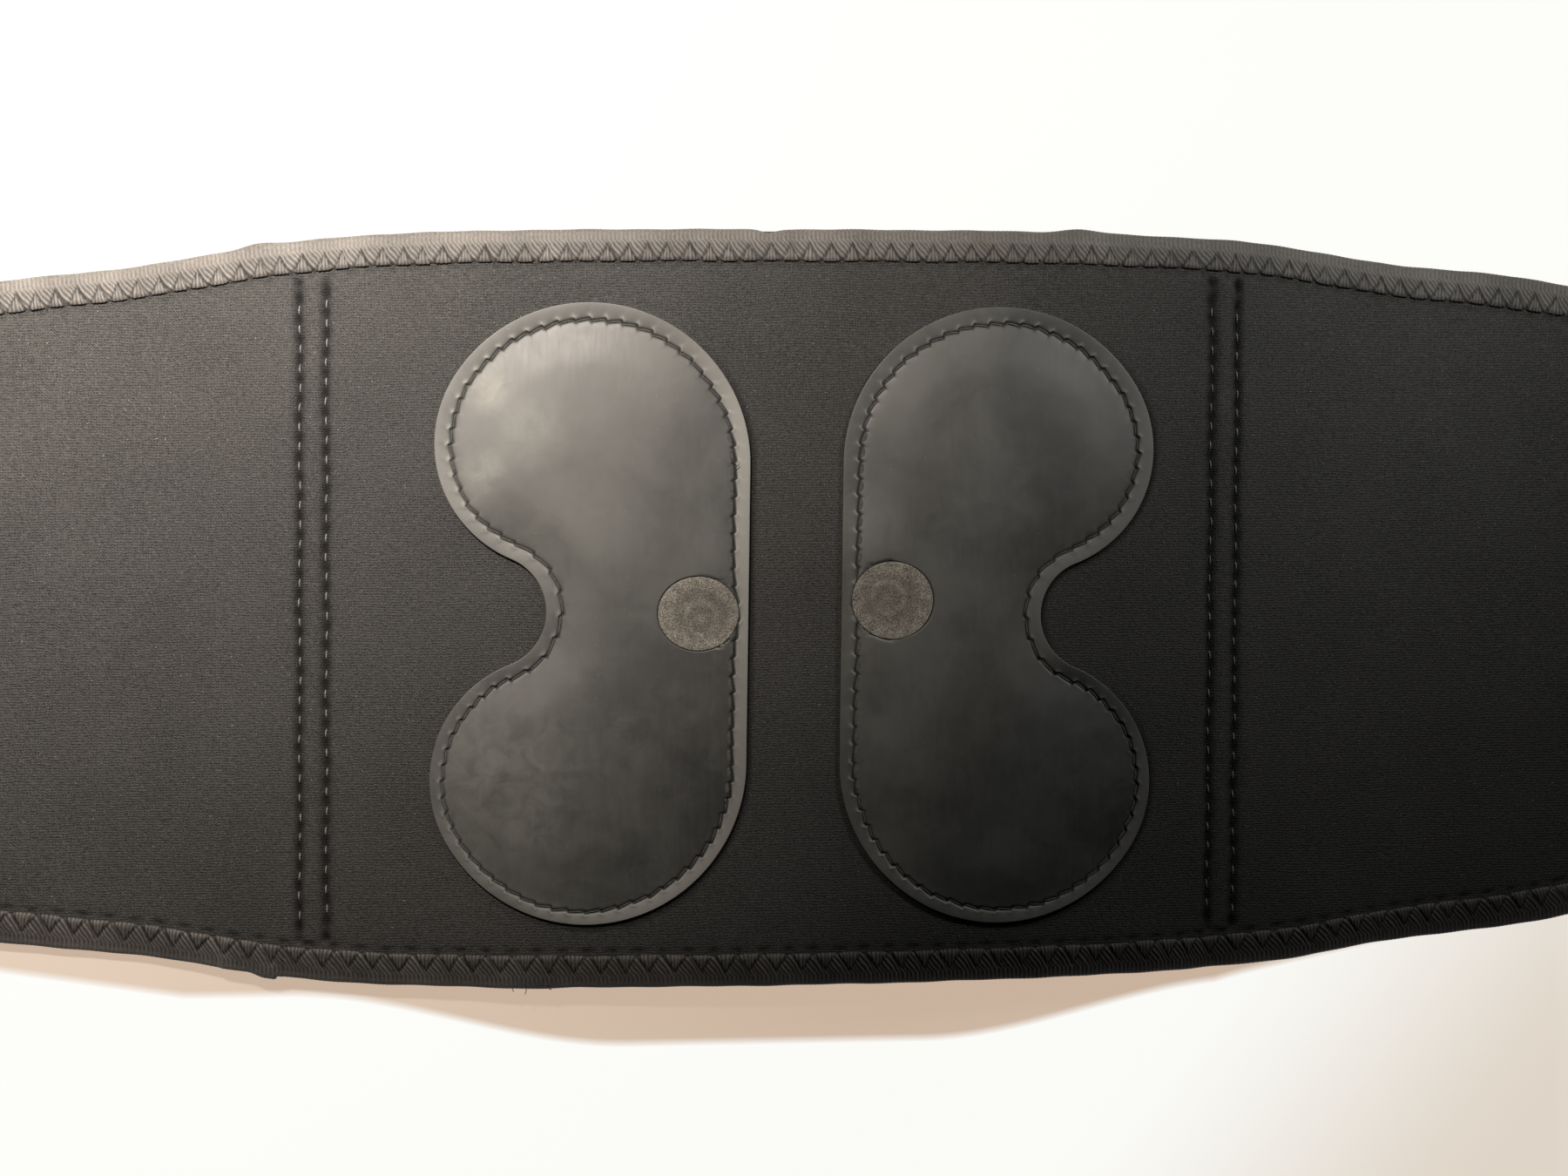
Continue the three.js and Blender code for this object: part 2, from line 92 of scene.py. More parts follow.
# sewing
STAY_ROWS = (112.2, 118.8)           # the two rows of each stay channel
STAY_PITCH = 4.9
STAY_TILT = {-1: 0.008, 1: 0.019}    # how far the left and right rows are out of square
RIB = 1.08                           # pitch of the tape's cords
ZIG_TOP, ZIG_LOW = 5.15, 6.3         # zigzag stitches of the upper and lower edge
APEX_D, FOOT_D = 4.0, 8.8            # outer and inner points of the zigzag
UNDER_SHIFT = 1.9                    # the under face's stitches lie this much further along
BIND_D, NOSE_D = 8.6, 2.0            # inner edge of the tape, and where its fold begins
SLUMP_TOP, SLUMP_LOW = 1.35, 1.75    # how far the tape's face sinks to the fold, above and below
CLOTH_D = 0.7                        # the cloth ends this far inside the outline
WING_CUT = 220.0                     # where the pieces of a side and a front wing meet

# electrodes
PAD_W, PAD_H, WAIST_W, LOBE_R, LOBE_FROM = 79.5, 156.6, 51.0, 31.5, 150.0
PAD_TURN, PAD_MID_Y = math.radians(-1.2), -1.7
SNAP_INSET, SEAM_INSET, PAD_PITCH = 13.2, 3.9, 4.5


def smooth(t):
    t = np.clip(t, 0, 1)
    return t * t * (3 - 2 * t)


def bell(t):
    return np.exp(-t * t)


def hash01(n):
    """An even scatter from 0 to 1, the same for the same number."""
    return np.mod(np.sin(np.asarray(n, float) * 12.9898 + 4.137) * 43758.5453, 1.0)


# ---- the belt's form

def taper(x):
    return END_HALF + (MID_HALF - END_HALF) / (1 + (x / TAPER_REACH) ** 4)


TIP_Y = taper(TIP_X) - TIP_RADIUS


def half_height(x):
    """Half the belt's height at x."""
    ax = np.abs(np.asarray(x, float))
    over = np.clip(ax - TIP_X, 0, TIP_RADIUS)
    rounded = TIP_Y + np.sqrt(np.maximum(TIP_RADIUS ** 2 - over ** 2, 0))
    return np.where(ax > TIP_X, rounded, taper(ax))


BOW_REACH, BOW_TOP, BOW_LOW = 115.5, 1.3, 3.0    # the edges bow up between the stays
DROOP = 1.65                                     # the wings sink to the table
WING_WAVE, MID_WAVE = 0.34, 0.12
RISE_TOP, RISE_LOW = 1.1, -0.5                   # the right wing lies a little twisted
FOLD_X, FOLD_Y, FOLD_COS, FOLD_SIN = -141.5, 32, 0.94, 0.34
FOLD_HEIGHT = 0.42                               # a soft fold across the left wing


def lift(x, y):
    """How far the cloth lies above or below the flat CAD laminate. Zero at the snaps and stays."""
    ax, ay = np.abs(x), np.abs(y)
    between = np.minimum(ax, BOW_REACH) / BOW_REACH
    bow = np.where(ax < BOW_REACH, np.cos(PI / 2 * between) ** 2, 0)
    bow = bow * (np.where(y < 0, BOW_LOW, BOW_TOP) * smooth((ay - 52) / 44))
    droop = -DROOP * smooth((ax - 122) / 46)
    free = smooth((ax - 124) / 45)
    waves = WING_WAVE * np.sin(x / 21.5 + y / 41 + 0.8) * np.sin(y / 36 - x / 90 + 1.1)
    rise = (RISE_TOP * smooth((x - 150) / 60) * smooth((y + 10) / 60)
            + RISE_LOW * smooth((x - 140) / 50) * smooth((-y - 10) / 50))
    across_fold = (x - FOLD_X) * FOLD_COS - (y - FOLD_Y) * FOLD_SIN
    along_fold = (y - FOLD_Y) * FOLD_COS + (x - FOLD_X) * FOLD_SIN
    fold_and_shadow = np.where(x < 0, FOLD_HEIGHT, 0.0) * np.tanh(across_fold / 2.6)
    fold_and_shadow = fold_and_shadow * bell(across_fold / 9) * bell(along_fold / 22)
    snaps = np.ones_like(np.asarray(x, float))
    for sx, sy in SNAP.values():
        snaps = snaps * smooth((np.hypot(x - sx, y - sy) - 12) / 22)
    calm = smooth((108 - ax) / 14) * snaps
    mid_waves = MID_WAVE * np.sin(x / 9.7 + y / 23) * np.sin(y / 14.3 - x / 31 + 0.6)
    return bow + droop + free * waves + rise * free + fold_and_shadow + calm * mid_waves


def laid(x, y, z):
    """Points of something that lies on the belt, z over the table before the cloth's lift."""
    return np.stack([x, y, z + lift(x, y)], -1)


def warp(x, y):
    """The stay rows are sewn slightly out of square, and the wings' edges are drawn in a little."""
    near = bell((np.abs(x) - STAY_X) / 9.0)
    tilt = np.where(x < 0, STAY_TILT[-1], STAY_TILT[1])
    drawn = 0.027 * bell((x + 158) / 34) + 0.012 * bell((x - 158) / 20)
    drawn = drawn - 0.014 * bell((x - 205) / 26)
    spread = np.where(y > 0, 0.0120, 0.0090) * smooth((np.abs(y) - 45) / 45)
    return x + near * tilt * y, y * (1 - drawn + spread)


def outline_loop():
    """The closed outline from the left tip's middle, over the top, round the right tip and back."""
    turn = np.linspace(PI, PI / 2, 120)
    straight = np.column_stack([np.full(60, -HALF_LENGTH), np.linspace(0, TIP_Y, 61)[:-1]])
    arc = np.column_stack([-TIP_X + TIP_RADIUS * np.cos(turn), TIP_Y + TIP_RADIUS * np.sin(turn)])
    xs = np.linspace(-TIP_X, 0, 1500)[1:]
    quarter = np.vstack([straight, arc, np.column_stack([xs, half_height(xs)])])
    upper = np.vstack([quarter, (quarter * [-1, 1])[::-1][1:]])
    return np.vstack([upper, (upper * [1, -1])[::-1][1:]])


def run_along(pts):
    """Length from the first point to each point of a polyline."""
    return np.concatenate([[0], np.cumsum(np.hypot(*np.diff(pts, axis=0).T))])


LOOP = outline_loop()
LOOP_S = run_along(LOOP)
LOOP_LENGTH = LOOP_S[-1]
TOP_END = LOOP_LENGTH / 2
# the pitches, changed a little so that whole numbers of cords and stitches fit round the belt
RIB = LOOP_LENGTH / round(LOOP_LENGTH / RIB)
ZIG_TOP = TOP_END / round(TOP_END / ZIG_TOP)
ZIG_LOW = TOP_END / round(TOP_END / ZIG_LOW)
UPPER_COUNT = TOP_END / ZIG_TOP
WHOLE_COUNT = UPPER_COUNT + TOP_END / ZIG_LOW


def on_top(s):
    return np.mod(s, LOOP_LENGTH) < TOP_END


def zig_size(s):
    return np.where(on_top(s), ZIG_TOP, ZIG_LOW)


def zig_count(s):
    """Stitches sewn up to a run along the edge; whole numbers are the inner points."""
    s = np.asarray(s, float)
    turn = np.floor(s / LOOP_LENGTH)
    s = s - turn * LOOP_LENGTH
    n = np.where(s < TOP_END, s / ZIG_TOP, UPPER_COUNT + (s - TOP_END) / ZIG_LOW)
    return turn * WHOLE_COUNT + n


def zig_run(n):
    """The run along the edge of stitch number n."""
    n = np.asarray(n, float)
    turn = np.floor(n / WHOLE_COUNT)
    n = n - turn * WHOLE_COUNT
    s = np.where(n < UPPER_COUNT, n * ZIG_TOP, TOP_END + (n - UPPER_COUNT) * ZIG_LOW)
    return turn * LOOP_LENGTH + s


def outline_at(s):
    s = np.mod(s, LOOP_LENGTH)
    return np.interp(s, LOOP_S, LOOP[:, 0]), np.interp(s, LOOP_S, LOOP[:, 1])


def loop_point(s):
    """Place on the outline and the way out from it."""
    s = np.mod(s, LOOP_LENGTH)
    near = 0.8
    (x0, y0), (x1, y1) = outline_at(s - near), outline_at(s + near)
    n = np.hypot(x1 - x0, y1 - y0)
    return *outline_at(s), -(y1 - y0) / n, (x1 - x0) / n


def s_at(x, top):
    """Run along the outline where the upper or lower edge passes x."""
    half = LOOP_S <= TOP_END
    s = np.interp(x, LOOP[half, 0], LOOP_S[half])
    return s if top else LOOP_LENGTH - s


# where the tape's two ends overlap, under the lower edge left of the middle
JOIN_S = float(s_at(-129.4, False))
# small kinks of the edges, outwards above 0: place, reach, width
KINKS = [(float(s_at(x, top)), reach, width)
         for x, top, reach, width in ((-129.0, True, 0.8, 5.0), (-0.5, True, -0.7, 2.6),
                                      (79.9, True, 0.9, 6.0), (-62.0, False, 0.4, 9.0))]


def edge_swell(s):
    """How far the edge stands out of the outline."""
    swell = np.zeros_like(s)
    for at, reach, width in KINKS:
        swell = swell + reach * bell((s - at) / width)
    swell = swell + 0.85 * smooth((s - JOIN_S + 4.4) / 0.8) * smooth((JOIN_S + 3.4 - s) / 4.5)
    return swell + 0.12 * np.sin(s / 7.3) * np.sin(s / 3.1 + 1)


def zig_d(s):
    """How far in from the edge the zigzag thread lies."""
    n = zig_count(s)
    apex = APEX_D + 0.6 * (hash01(np.floor(n) + 3) - 0.5)
    foot = FOOT_D + 0.5 * (hash01(np.floor(n + 0.5) + 31) - 0.5)
    saw = np.abs(2 * np.mod(n + 0.06 * np.sin(n * 1.7), 1) - 1)
    return apex + (foot - apex) * saw ** 0.9


def bind_inner(s):
    """Inner edge of the tape, drawn out a little at each stitch."""
    near = np.abs(np.mod(zig_count(s) + 0.5, 1) - 0.5) * zig_size(s)
    return BIND_D - 0.42 * bell(near / 0.75) + 0.12 * np.sin(s / 4.1)


def rib_wave(s):
    """Cords of the tape: -1 in the furrows, 1 on the ridges, each cord a little different."""
    k = np.floor(s / RIB + 0.5)
    ridge = 1 - np.abs(2 * np.mod(s / RIB + 0.5, 1) - 1) ** 1.5
    return 2 * ridge * (0.78 + 0.44 * hash01(k)) - 1


def bind_relief(s, d, under):
    """Height of the tape's face over its plain form, and its painted shade in furrows and grooves,
    0 to 1.
    Under each peak of the zigzag the cords spread like a fan; between the peaks they lean."""
    n = zig_count(s)
    line = zig_d(s)
    fan = smooth((d - line + 0.1) / 0.5)
    peak = np.floor(n) + 0.5
    off = (n - peak) * zig_size(s)
    share = np.clip((d - APEX_D) / (FOOT_D - APEX_D), 0, 1)
    fanned = off * (1.75 - 0.75 * share) + 0.16 * np.sin(off * 1.3 + peak * 2.1)
    fanned = fanned + peak * zig_size(s)
    sway = 0.62 * (d - 2.6) + 0.30 * np.sin(2 * PI * n) * smooth((d - 3) / 2)
    leaning = s - smooth((d - 2.6) / 1.2) * sway
    if under:
        leaning = 2 * s - leaning
    ridges = (1 - fan) * rib_wave(leaning) + fan * rib_wave(fanned)
    sewn = smooth((d - 2.8) / 1.3)
    crisp = np.where(on_top(s), 0.0, 1.0)
    groove = bell((d - line) * 0.52 / 0.30) * sewn * (0.75 + 0.5 * hash01(np.floor(2 * n) + 17))
    height = (0.075 + 0.045 * crisp + 0.075 * sewn) * ridges * (1 - 0.4 * groove) - 0.30 * groove
    height = height + 0.10 * fan * sewn * (1 - smooth((d - 7.4) / 1.2))
    height = height - 0.22 * smooth((d - 7.2) / 1.4)
    # painted shade in the cords' furrows and the zigzag thread's grooves
    furrow = (0.42 + 0.30 * crisp + (0.50 - 0.25 * crisp) * sewn) * (1 - ridges) / 2
    return height, np.clip(furrow + 0.65 * groove, 0, 1)


def bind_slump(s):
    """How far the tape's face has sunk at its fold."""
    return np.where(on_top(s), SLUMP_TOP, SLUMP_LOW)


def bind_fall(s, d):
    """How far the tape's face sinks towards the belt's outer edge."""
    return bind_slump(s) * np.clip((BIND_D - d) / (BIND_D - NOSE_D), 0, 1) ** 1.25


# ---- mesh helpers

def make(name, verts, face_sets, material, rest=None, tone=None):
    """A piece from points in mm and faces. Its rest place and tone feed the material."""
    mesh = bpy.data.meshes.new(name)
    verts = np.ascontiguousarray(np.asarray(verts, float) * MM, np.float32)
    face_sets = [np.asarray(f, np.int32) for f in face_sets if len(f)]
    totals = np.concatenate([np.full(len(f), f.shape[1], np.int32) for f in face_sets])
    corners = np.concatenate([f.ravel() for f in face_sets])
    starts = np.concatenate([[0], np.cumsum(totals)[:-1]]).astype(np.int32)
    mesh.vertices.add(len(verts))
    mesh.vertices.foreach_set("co", verts.ravel())
    mesh.loops.add(len(corners))
    mesh.loops.foreach_set("vertex_index", corners)
    mesh.polygons.add(len(totals))
    mesh.polygons.foreach_set("loop_start", starts)
    mesh.polygons.foreach_set("use_smooth", totals <= 8)
    mesh.update(calc_edges=True)
    mesh.validate()
    rest = np.ascontiguousarray(verts / MM if rest is None else rest, np.float32)
    tone = np.asarray(np.zeros(len(verts)) if tone is None else tone, np.float32)
    mesh.attributes.new("rest", "FLOAT_VECTOR", "POINT").data.foreach_set("vector", rest.ravel())
    mesh.attributes.new("tone", "FLOAT", "POINT").data.foreach_set("value", tone)
    mesh.materials.append(material)
    obj = bpy.data.objects.new(name, mesh)
    bpy.context.scene.collection.objects.link(obj)
    return obj


def flip(face_sets):
    return [f[:, ::-1] for f in face_sets]


def grid_quads(nu, nv, start=0):
    a = start + np.arange(nu - 1)[:, None] * nv + np.arange(nv - 1)[None, :]
    return np.stack([a, a + nv, a + nv + 1, a + 1], -1).reshape(-1, 4)


def ring_quads(count, size):
    """Faces between closed rings of so many points each."""
    i, j = np.arange(count - 1)[:, None], np.arange(size)[None, :]
    a, b = i * size + j, i * size + (j + 1) % size
    return np.stack([a, b, b + size, a + size], -1).reshape(-1, 4)


def slab(top, bottom):
    """A closed sheet from a fine upper grid and a coarser lower grid with the same columns."""
    nu, nv = top.shape[:2]
    nb = bottom.shape[1]
    off = nu * nv
    i = np.arange(nu - 1)
    t0, t1 = i * nv, (i + 1) * nv
    b0, b1 = off + i * nb, off + (i + 1) * nb
    near = np.stack([t0, b0, b1, t1], -1)
    t0, t1, b0, b1 = t0 + nv - 1, t1 + nv - 1, b0 + nb - 1, b1 + nb - 1
    far = np.stack([t0, t1, b1, b0], -1)
    t, b = np.arange(nv), off + np.arange(nb)
    first = np.concatenate([t, b[::-1]])[None, :]
    last = np.concatenate([(nu - 1) * nv + t[::-1], (nu - 1) * nb + b])[None, :]
    faces = [grid_quads(nu, nv), grid_quads(nu, nb, off)[:, ::-1], near, far, first, last]
    return np.vstack([top.reshape(-1, 3), bottom.reshape(-1, 3)]), faces


def sweep(rings):
    """Closed sections (n, k, 3) joined into one body, ends capped."""
    n, k = rings.shape[:2]
    caps = [np.arange(k)[::-1][None, :], (np.arange(k) + (n - 1) * k)[None, :]]
    return rings.reshape(-1, 3), [ring_quads(n, k)] + caps


def tubes(paths, radius, sides=6, squash=1.0):
    """Many round threads at once. paths is (n, k, 3); radius is one number per point of a path."""
    paths = np.asarray(paths, float)
    n, k = paths.shape[:2]
    along = np.gradient(paths, axis=1)
    along /= np.maximum(np.linalg.norm(along, axis=2, keepdims=True), 1e-9)
    up = np.where(np.abs(along[..., 2:3]) > 0.9, [1.0, 0, 0], [0, 0, 1.0])
    across = np.cross(along, up)
    across /= np.maximum(np.linalg.norm(across, axis=2, keepdims=True), 1e-9)
    up = np.cross(across, along)
    r = np.broadcast_to(np.asarray(radius, float), (n, k))[..., None, None]
    ang = 2 * PI * np.arange(sides)[:, None] / sides
    ring = across[:, :, None, :] * np.cos(ang) + squash * up[:, :, None, :] * np.sin(ang)
    first = np.arange(n)[:, None] * k * sides
    cap = np.arange(sides)[None, :]
    quads = (first[:, :, None] + ring_quads(k, sides)).reshape(-1, 4)
    return ((paths[:, :, None, :] + r * ring).reshape(-1, 3),
            [quads, first + cap[:, ::-1], first + (k - 1) * sides + cap])


def turning(faces, xy):
    """Above 0 for a face that shows its outer side from above, below 0 for the others."""
    p = xy[faces]
    a, b = p[:, 1] - p[:, 0], p[:, 2] - p[:, 0]
    return a[:, 0] * b[:, 1] - a[:, 1] * b[:, 0]


def facing_up(faces, xy):
    return np.where(turning(faces, xy)[:, None] < 0, faces[:, ::-1], faces)


def fill(ring, inside, first_ring, first_inside):
    """Triangles over a closed ring and the points inside it. The ring's points are numbered from
    first_ring and the others from first_inside."""
    n = len(ring)
    points = [Vector(p) for p in np.vstack([ring, inside])]
    loop = [(i, (i + 1) % n) for i in range(n)]
    _, _, tris, origin, _, _ = delaunay_2d_cdt(points, loop, [], 1, 1e-6)
    order = np.array([o[0] for o in origin])
    tris = np.array([[order[i] for i in t] for t in tris if len(t) == 3])
    return np.where(tris < n, tris + first_ring, tris - n + first_inside)


# ---- materials

def socket_set(sock, value):
    if isinstance(value, bpy.types.NodeSocket):
        sock.id_data.links.new(value, sock)
    elif hasattr(value, "__len__") and sock.type == "RGBA":
        sock.default_value = (*value, 1.0)[:4]
    else:
        sock.default_value = value


class Shade:
    """A thin wrapper that adds nodes with their inputs set or linked."""

    def __init__(self, name):
        self.material = bpy.data.materials.new(name)
        self.material.use_nodes = True
        self.nodes = self.material.node_tree.nodes
        self.surface = self.nodes["Principled BSDF"]

    def node(self, kind, inputs=(), **props):
        n = self.nodes.new(kind)
        for key, value in props.items():
            setattr(n, key, value)
        for key, value in dict(inputs).items():
            socket_set(n.inputs[key], value)
        return n

    def attribute(self, name, output="Vector"):
        return self.node("ShaderNodeAttribute", attribute_name=name).outputs[output]

    def math(self, op, a, b=0.0, c=0.0):
        return self.node("ShaderNodeMath", {0: a, 1: b, 2: c}, operation=op).outputs[0]

    def plus(self, a, b):
        return self.math("ADD", a, b)

    def times(self, a, b, then_plus=None):
        if then_plus is None:
            return self.math("MULTIPLY", a, b)
        return self.math("MULTIPLY_ADD", a, b, then_plus)

    def vector(self, op, inputs, output=0):
        return self.node("ShaderNodeVectorMath", inputs, operation=op).outputs[output]

    def mix(self, fac, a, b):
        return self.node("ShaderNodeMix", {0: fac, 6: a, 7: b}, data_type="RGBA").outputs[2]

    def cover(self, color, mask, strength, coat):
        """The colour with a coat over it where the mask is 1."""
        return self.mix(self.times(mask, strength), color, coat)

    def noise(self, vector, scale, detail=3.0, rough=0.55, distortion=0.0, output=0):
        inputs = {"Vector": vector, "Scale": scale, "Detail": detail, "Roughness": rough,
                  "Distortion": distortion}
        return self.node("ShaderNodeTexNoise", inputs).outputs[output]

    def wander(self, vector, scale, detail, reach):
        """A small vector that changes slowly from place to place."""
        drift = self.noise(vector, scale, detail, 0.5, output="Color")
        return self.vector("SCALE", {0: drift, "Scale": reach})

    def ramp(self, value, low, high, at_low=0.0, at_high=1.0, **props):
        return self.node("ShaderNodeMapRange", {0: value, 1: low, 2: high, 3: at_low, 4: at_high},
                         **props).outputs[0]

    def sine(self, value, pitch, phase=0.0):
        return self.math("SINE", self.times(value, 2 * PI / pitch, phase))

    def stretch(self, vector, scale, turn=0.0):
        return self.node("ShaderNodeMapping", {"Vector": vector, "Scale": scale,
                                               "Rotation": (0, 0, turn)}).outputs[0]

    def split(self, vector):
        return self.node("ShaderNodeSeparateXYZ", {0: vector}).outputs

    def specks(self, vector, pitch, size, share):
        """1 on a few small specks, 0 elsewhere."""
        v = self.node("ShaderNodeTexVoronoi", {"Vector": vector, "Scale": 1.0 / pitch},
                      voronoi_dimensions="2D")
        near = self.math("LESS_THAN", v.outputs["Distance"], size / pitch)
        return self.times(near, self.math("LESS_THAN", self.split(v.outputs["Color"])[0], share))

    def bump(self, height, distance, strength=1.0, **normal):
        return self.node("ShaderNodeBump", {"Height": height, "Distance": distance,
                                            "Strength": strength, **normal}).outputs[0]

    def finish(self, color, rough, normal=None, **fixed):
        fixed.update(Base_Color=color, Roughness=rough)
        if normal is not None:
            fixed["Normal"] = normal
        for key, value in fixed.items():
            socket_set(self.surface.inputs[key.replace("_", " ")], value)
        return self.material


def knit_material():
    sh = Shade("lining_knit")
    rest = sh.attribute("rest")
    painted_shade = sh.attribute("tone", "Fac")
    yarn = sh.vector("ADD", {0: rest, 1: sh.wander(rest, 0.05, 2.0, 1.6)})
    yarn = sh.vector("ADD", {0: yarn, 1: sh.wander(rest, 0.75, 1.0, 0.6)})
    x, y, _ = sh.split(yarn)
    check = sh.times(sh.sine(x, 0.70), sh.sine(y, 0.66), sh.times(sh.sine(y, 0.66, 0.8), 0.55))
    upright = sh.noise(sh.stretch(rest, (2.9, 0.95, 1.0)), 1.0, 2.0, 0.6)
    level = sh.noise(sh.stretch(rest, (0.95, 2.9, 1.0)), 1.0, 2.0, 0.6)
    fine = sh.noise(rest, 2.4, 3.0, 0.7)
    cloud = sh.noise(rest, 0.035, 3.0, 0.6)
    weave = sh.times(check, 0.22, sh.times(sh.plus(upright, level), 0.72))
    weave = sh.times(fine, 0.7, weave)
    fac = sh.ramp(sh.times(cloud, 0.25, weave), 0.86, 1.58)
    color = sh.mix(fac, (0.015, 0.015, 0.0147), (0.082, 0.081, 0.0785))
    # painted shade in the sewn rows, the stitch holes along the tape and beside the pads
    color = sh.cover(color, painted_shade, 0.92, (0.003, 0.003, 0.003))
    lint = sh.math("MAXIMUM", sh.specks(rest, 6.5, 0.13, 0.30), sh.specks(rest, 2.6, 0.07, 0.14))
    color = sh.cover(color, lint, 0.7, (0.26, 0.25, 0.23))
    rough = sh.plus(sh.ramp(weave, 0.9, 1.6, 0.66, 0.52), sh.times(painted_shade, 0.2))
    return sh.finish(color, rough, sh.bump(weave, 0.00024, 0.9), Sheen_Weight=0.02,
                     Sheen_Roughness=0.30, Sheen_Tint=(0.98, 0.92, 0.86), Specular_IOR_Level=0.30)


def binding_material():
    sh = Shade("binding_ribbed_tape")
    rest = sh.attribute("rest")
    dark = sh.attribute("tone", "Fac")
    yarn = sh.noise(sh.stretch(rest, (3.0, 1.1, 1.0)), 1.0, 4.0, 0.7)
    cloud = sh.noise(rest, 0.06, 2.0)
    fac = sh.ramp(sh.times(cloud, 0.5, yarn), 0.45, 1.05)
    color = sh.mix(fac, (0.052, 0.0485, 0.045), (0.230, 0.214, 0.199))
    # painted shade in the furrows and grooves, and all over the tape's hidden inner skin
    color = sh.cover(color, dark, 0.95, (0.004, 0.004, 0.0042))
    rough = sh.plus(sh.ramp(yarn, 0.3, 0.7, 0.48, 0.60), sh.times(dark, 0.20))
    return sh.finish(color, rough, sh.bump(yarn, 0.00010, 0.8), Sheen_Weight=0.03,
                     Sheen_Roughness=0.30, Sheen_Tint=(0.98, 0.90, 0.84), Specular_IOR_Level=0.45)


# pale patches on the left electrode: place, reach, strength
PALE_SPOTS = ((-70.5, 55.0, 9.0, 0.75), (-72.0, 35.0, 8.0, 0.6), (-61.0, 45.0, 13.0, 0.45),
         (-76.0, -22.0, 8.0, 0.35), (-38.0, -30.0, 7.0, 0.25), (-66.0, -42.0, 27.0, 0.36))


def rubber_material():
    """Dusty rubber with painted light: each electrode lighter on its left, towards the lamp. A tone
    above 0 is painted shade in the seam's furrow, below 0 a painted highlight on its rim and
    puckers."""
    sh = Shade("electrode_rubber")
    rest = sh.attribute("rest")
    seam = sh.attribute("tone", "Fac")
    cloud = sh.noise(rest, 0.040, 4.0, 0.55, 0.4)
    haze = sh.noise(rest, 0.15, 5.0, 0.62, 0.8)
    grain = sh.noise(rest, 3.2, 4.0, 0.65)
    scuff = sh.noise(sh.stretch(rest, (0.9, 0.10, 1.0), 0.12), 1.0, 5.0, 0.7)
    fac = sh.ramp(sh.times(haze, 0.27, sh.times(scuff, 0.12, sh.times(cloud, 0.73))), 0.44, 0.68)
    x = sh.split(rest)[0]
    # painted light: each electrode lighter on its left, towards the lamp, and darker on its right
    left, right = sh.ramp(x, -84.0, -22.0, 0.55, -0.25), sh.ramp(x, 28.0, 80.0, 0.20, -0.50)
    painted_light_falloff = sh.times(sh.math("LESS_THAN", x, 5.0), sh.math("SUBTRACT", left, right), right)
    fac = sh.ramp(sh.plus(fac, painted_light_falloff), -0.4, 1.4)
    color = sh.mix(fac, (0.010, 0.0102, 0.0093), (0.088, 0.0889, 0.0807))
    pale_spots = None
    for px, py, reach, strength in PALE_SPOTS:
        off = sh.vector("SUBTRACT", {0: rest, 1: (px, py, 0)})
        far = sh.vector("LENGTH", {0: sh.vector("MULTIPLY", {0: off, 1: (1, 1, 0)})}, "Value")
        spot = sh.ramp(far, 0.0, reach, strength, 0.0, interpolation_type="SMOOTHSTEP")
        pale_spots = spot if pale_spots is None else sh.math("MAXIMUM", pale_spots, spot)
    # the pale patches, broken up by the haze
    pale_share = sh.times(pale_spots, sh.ramp(haze, 0.34, 0.66, 0.10, 0.72))
    color = sh.mix(pale_share, color, (0.30, 0.295, 0.265))
    # painted highlight on the rim and on the puckers beside the stitches
    color = sh.mix(sh.ramp(seam, -1.0, 0.0, 0.75, 0.0), color, (0.27, 0.266, 0.245))
    # painted shade in the seam, the stitch holes and the gap round the disc
    color = sh.mix(sh.ramp(seam, 0.0, 1.0, 0.0, 0.92), color, (0.004, 0.004, 0.004))
    color = sh.cover(color, sh.specks(rest, 7.5, 0.12, 0.25), 0.5, (0.30, 0.29, 0.27))
    height = sh.times(grain, 0.7, sh.times(scuff, 0.8))
    rough = sh.ramp(sh.times(haze, 0.5, sh.times(scuff, 0.5)), 0.3, 0.7, 0.54, 0.64)
    rough = sh.plus(rough, sh.ramp(seam, 0.0, 0.6, 0.0, 0.4))
    return sh.finish(color, rough, sh.bump(height, 0.00003, 0.7), IOR=1.58, Specular_IOR_Level=1.0)


def felt_material():
    sh = Shade("cover_felt")
    rest = sh.attribute("rest")
    a = sh.noise(sh.stretch(rest, (3.6, 1.9, 0.0), 0.5), 1.0, 3.0, 0.8, 0.3)
    b = sh.noise(sh.stretch(rest, (1.9, 3.6, 0.0), 0.3), 1.0, 3.0, 0.8, 0.3)
    c = sh.noise(sh.stretch(rest, (1.0, 1.0, 0.0)), 0.35, 3.0, 0.6)
    fac = sh.ramp(sh.times(c, 0.45, sh.plus(a, b)), 1.03, 1.44)
    color = sh.mix(fac, (0.072, 0.0655, 0.0560), (0.500, 0.466, 0.408))
    # painted shade along the disc's cut edge and on its under side
    color = sh.cover(color, sh.attribute("tone", "Fac"), 0.9, (0.006, 0.006, 0.006))
    dish = sh.split(rest)[2]
    # painted shade in the dish's low middle
    color = sh.mix(sh.ramp(dish, -0.02, 0.15, 0.50, 0.0), color, (0.07, 0.063, 0.054))
    normal = sh.bump(sh.plus(a, b), 0.00022, 0.9, Normal=sh.bump(dish, 0.0009, 1.0))
    return sh.finish(color, 0.80, normal, Sheen_Weight=0.15, Sheen_Roughness=0.5,
                     Sheen_Tint=(1.0, 0.96, 0.9), Specular_IOR_Level=0.35)


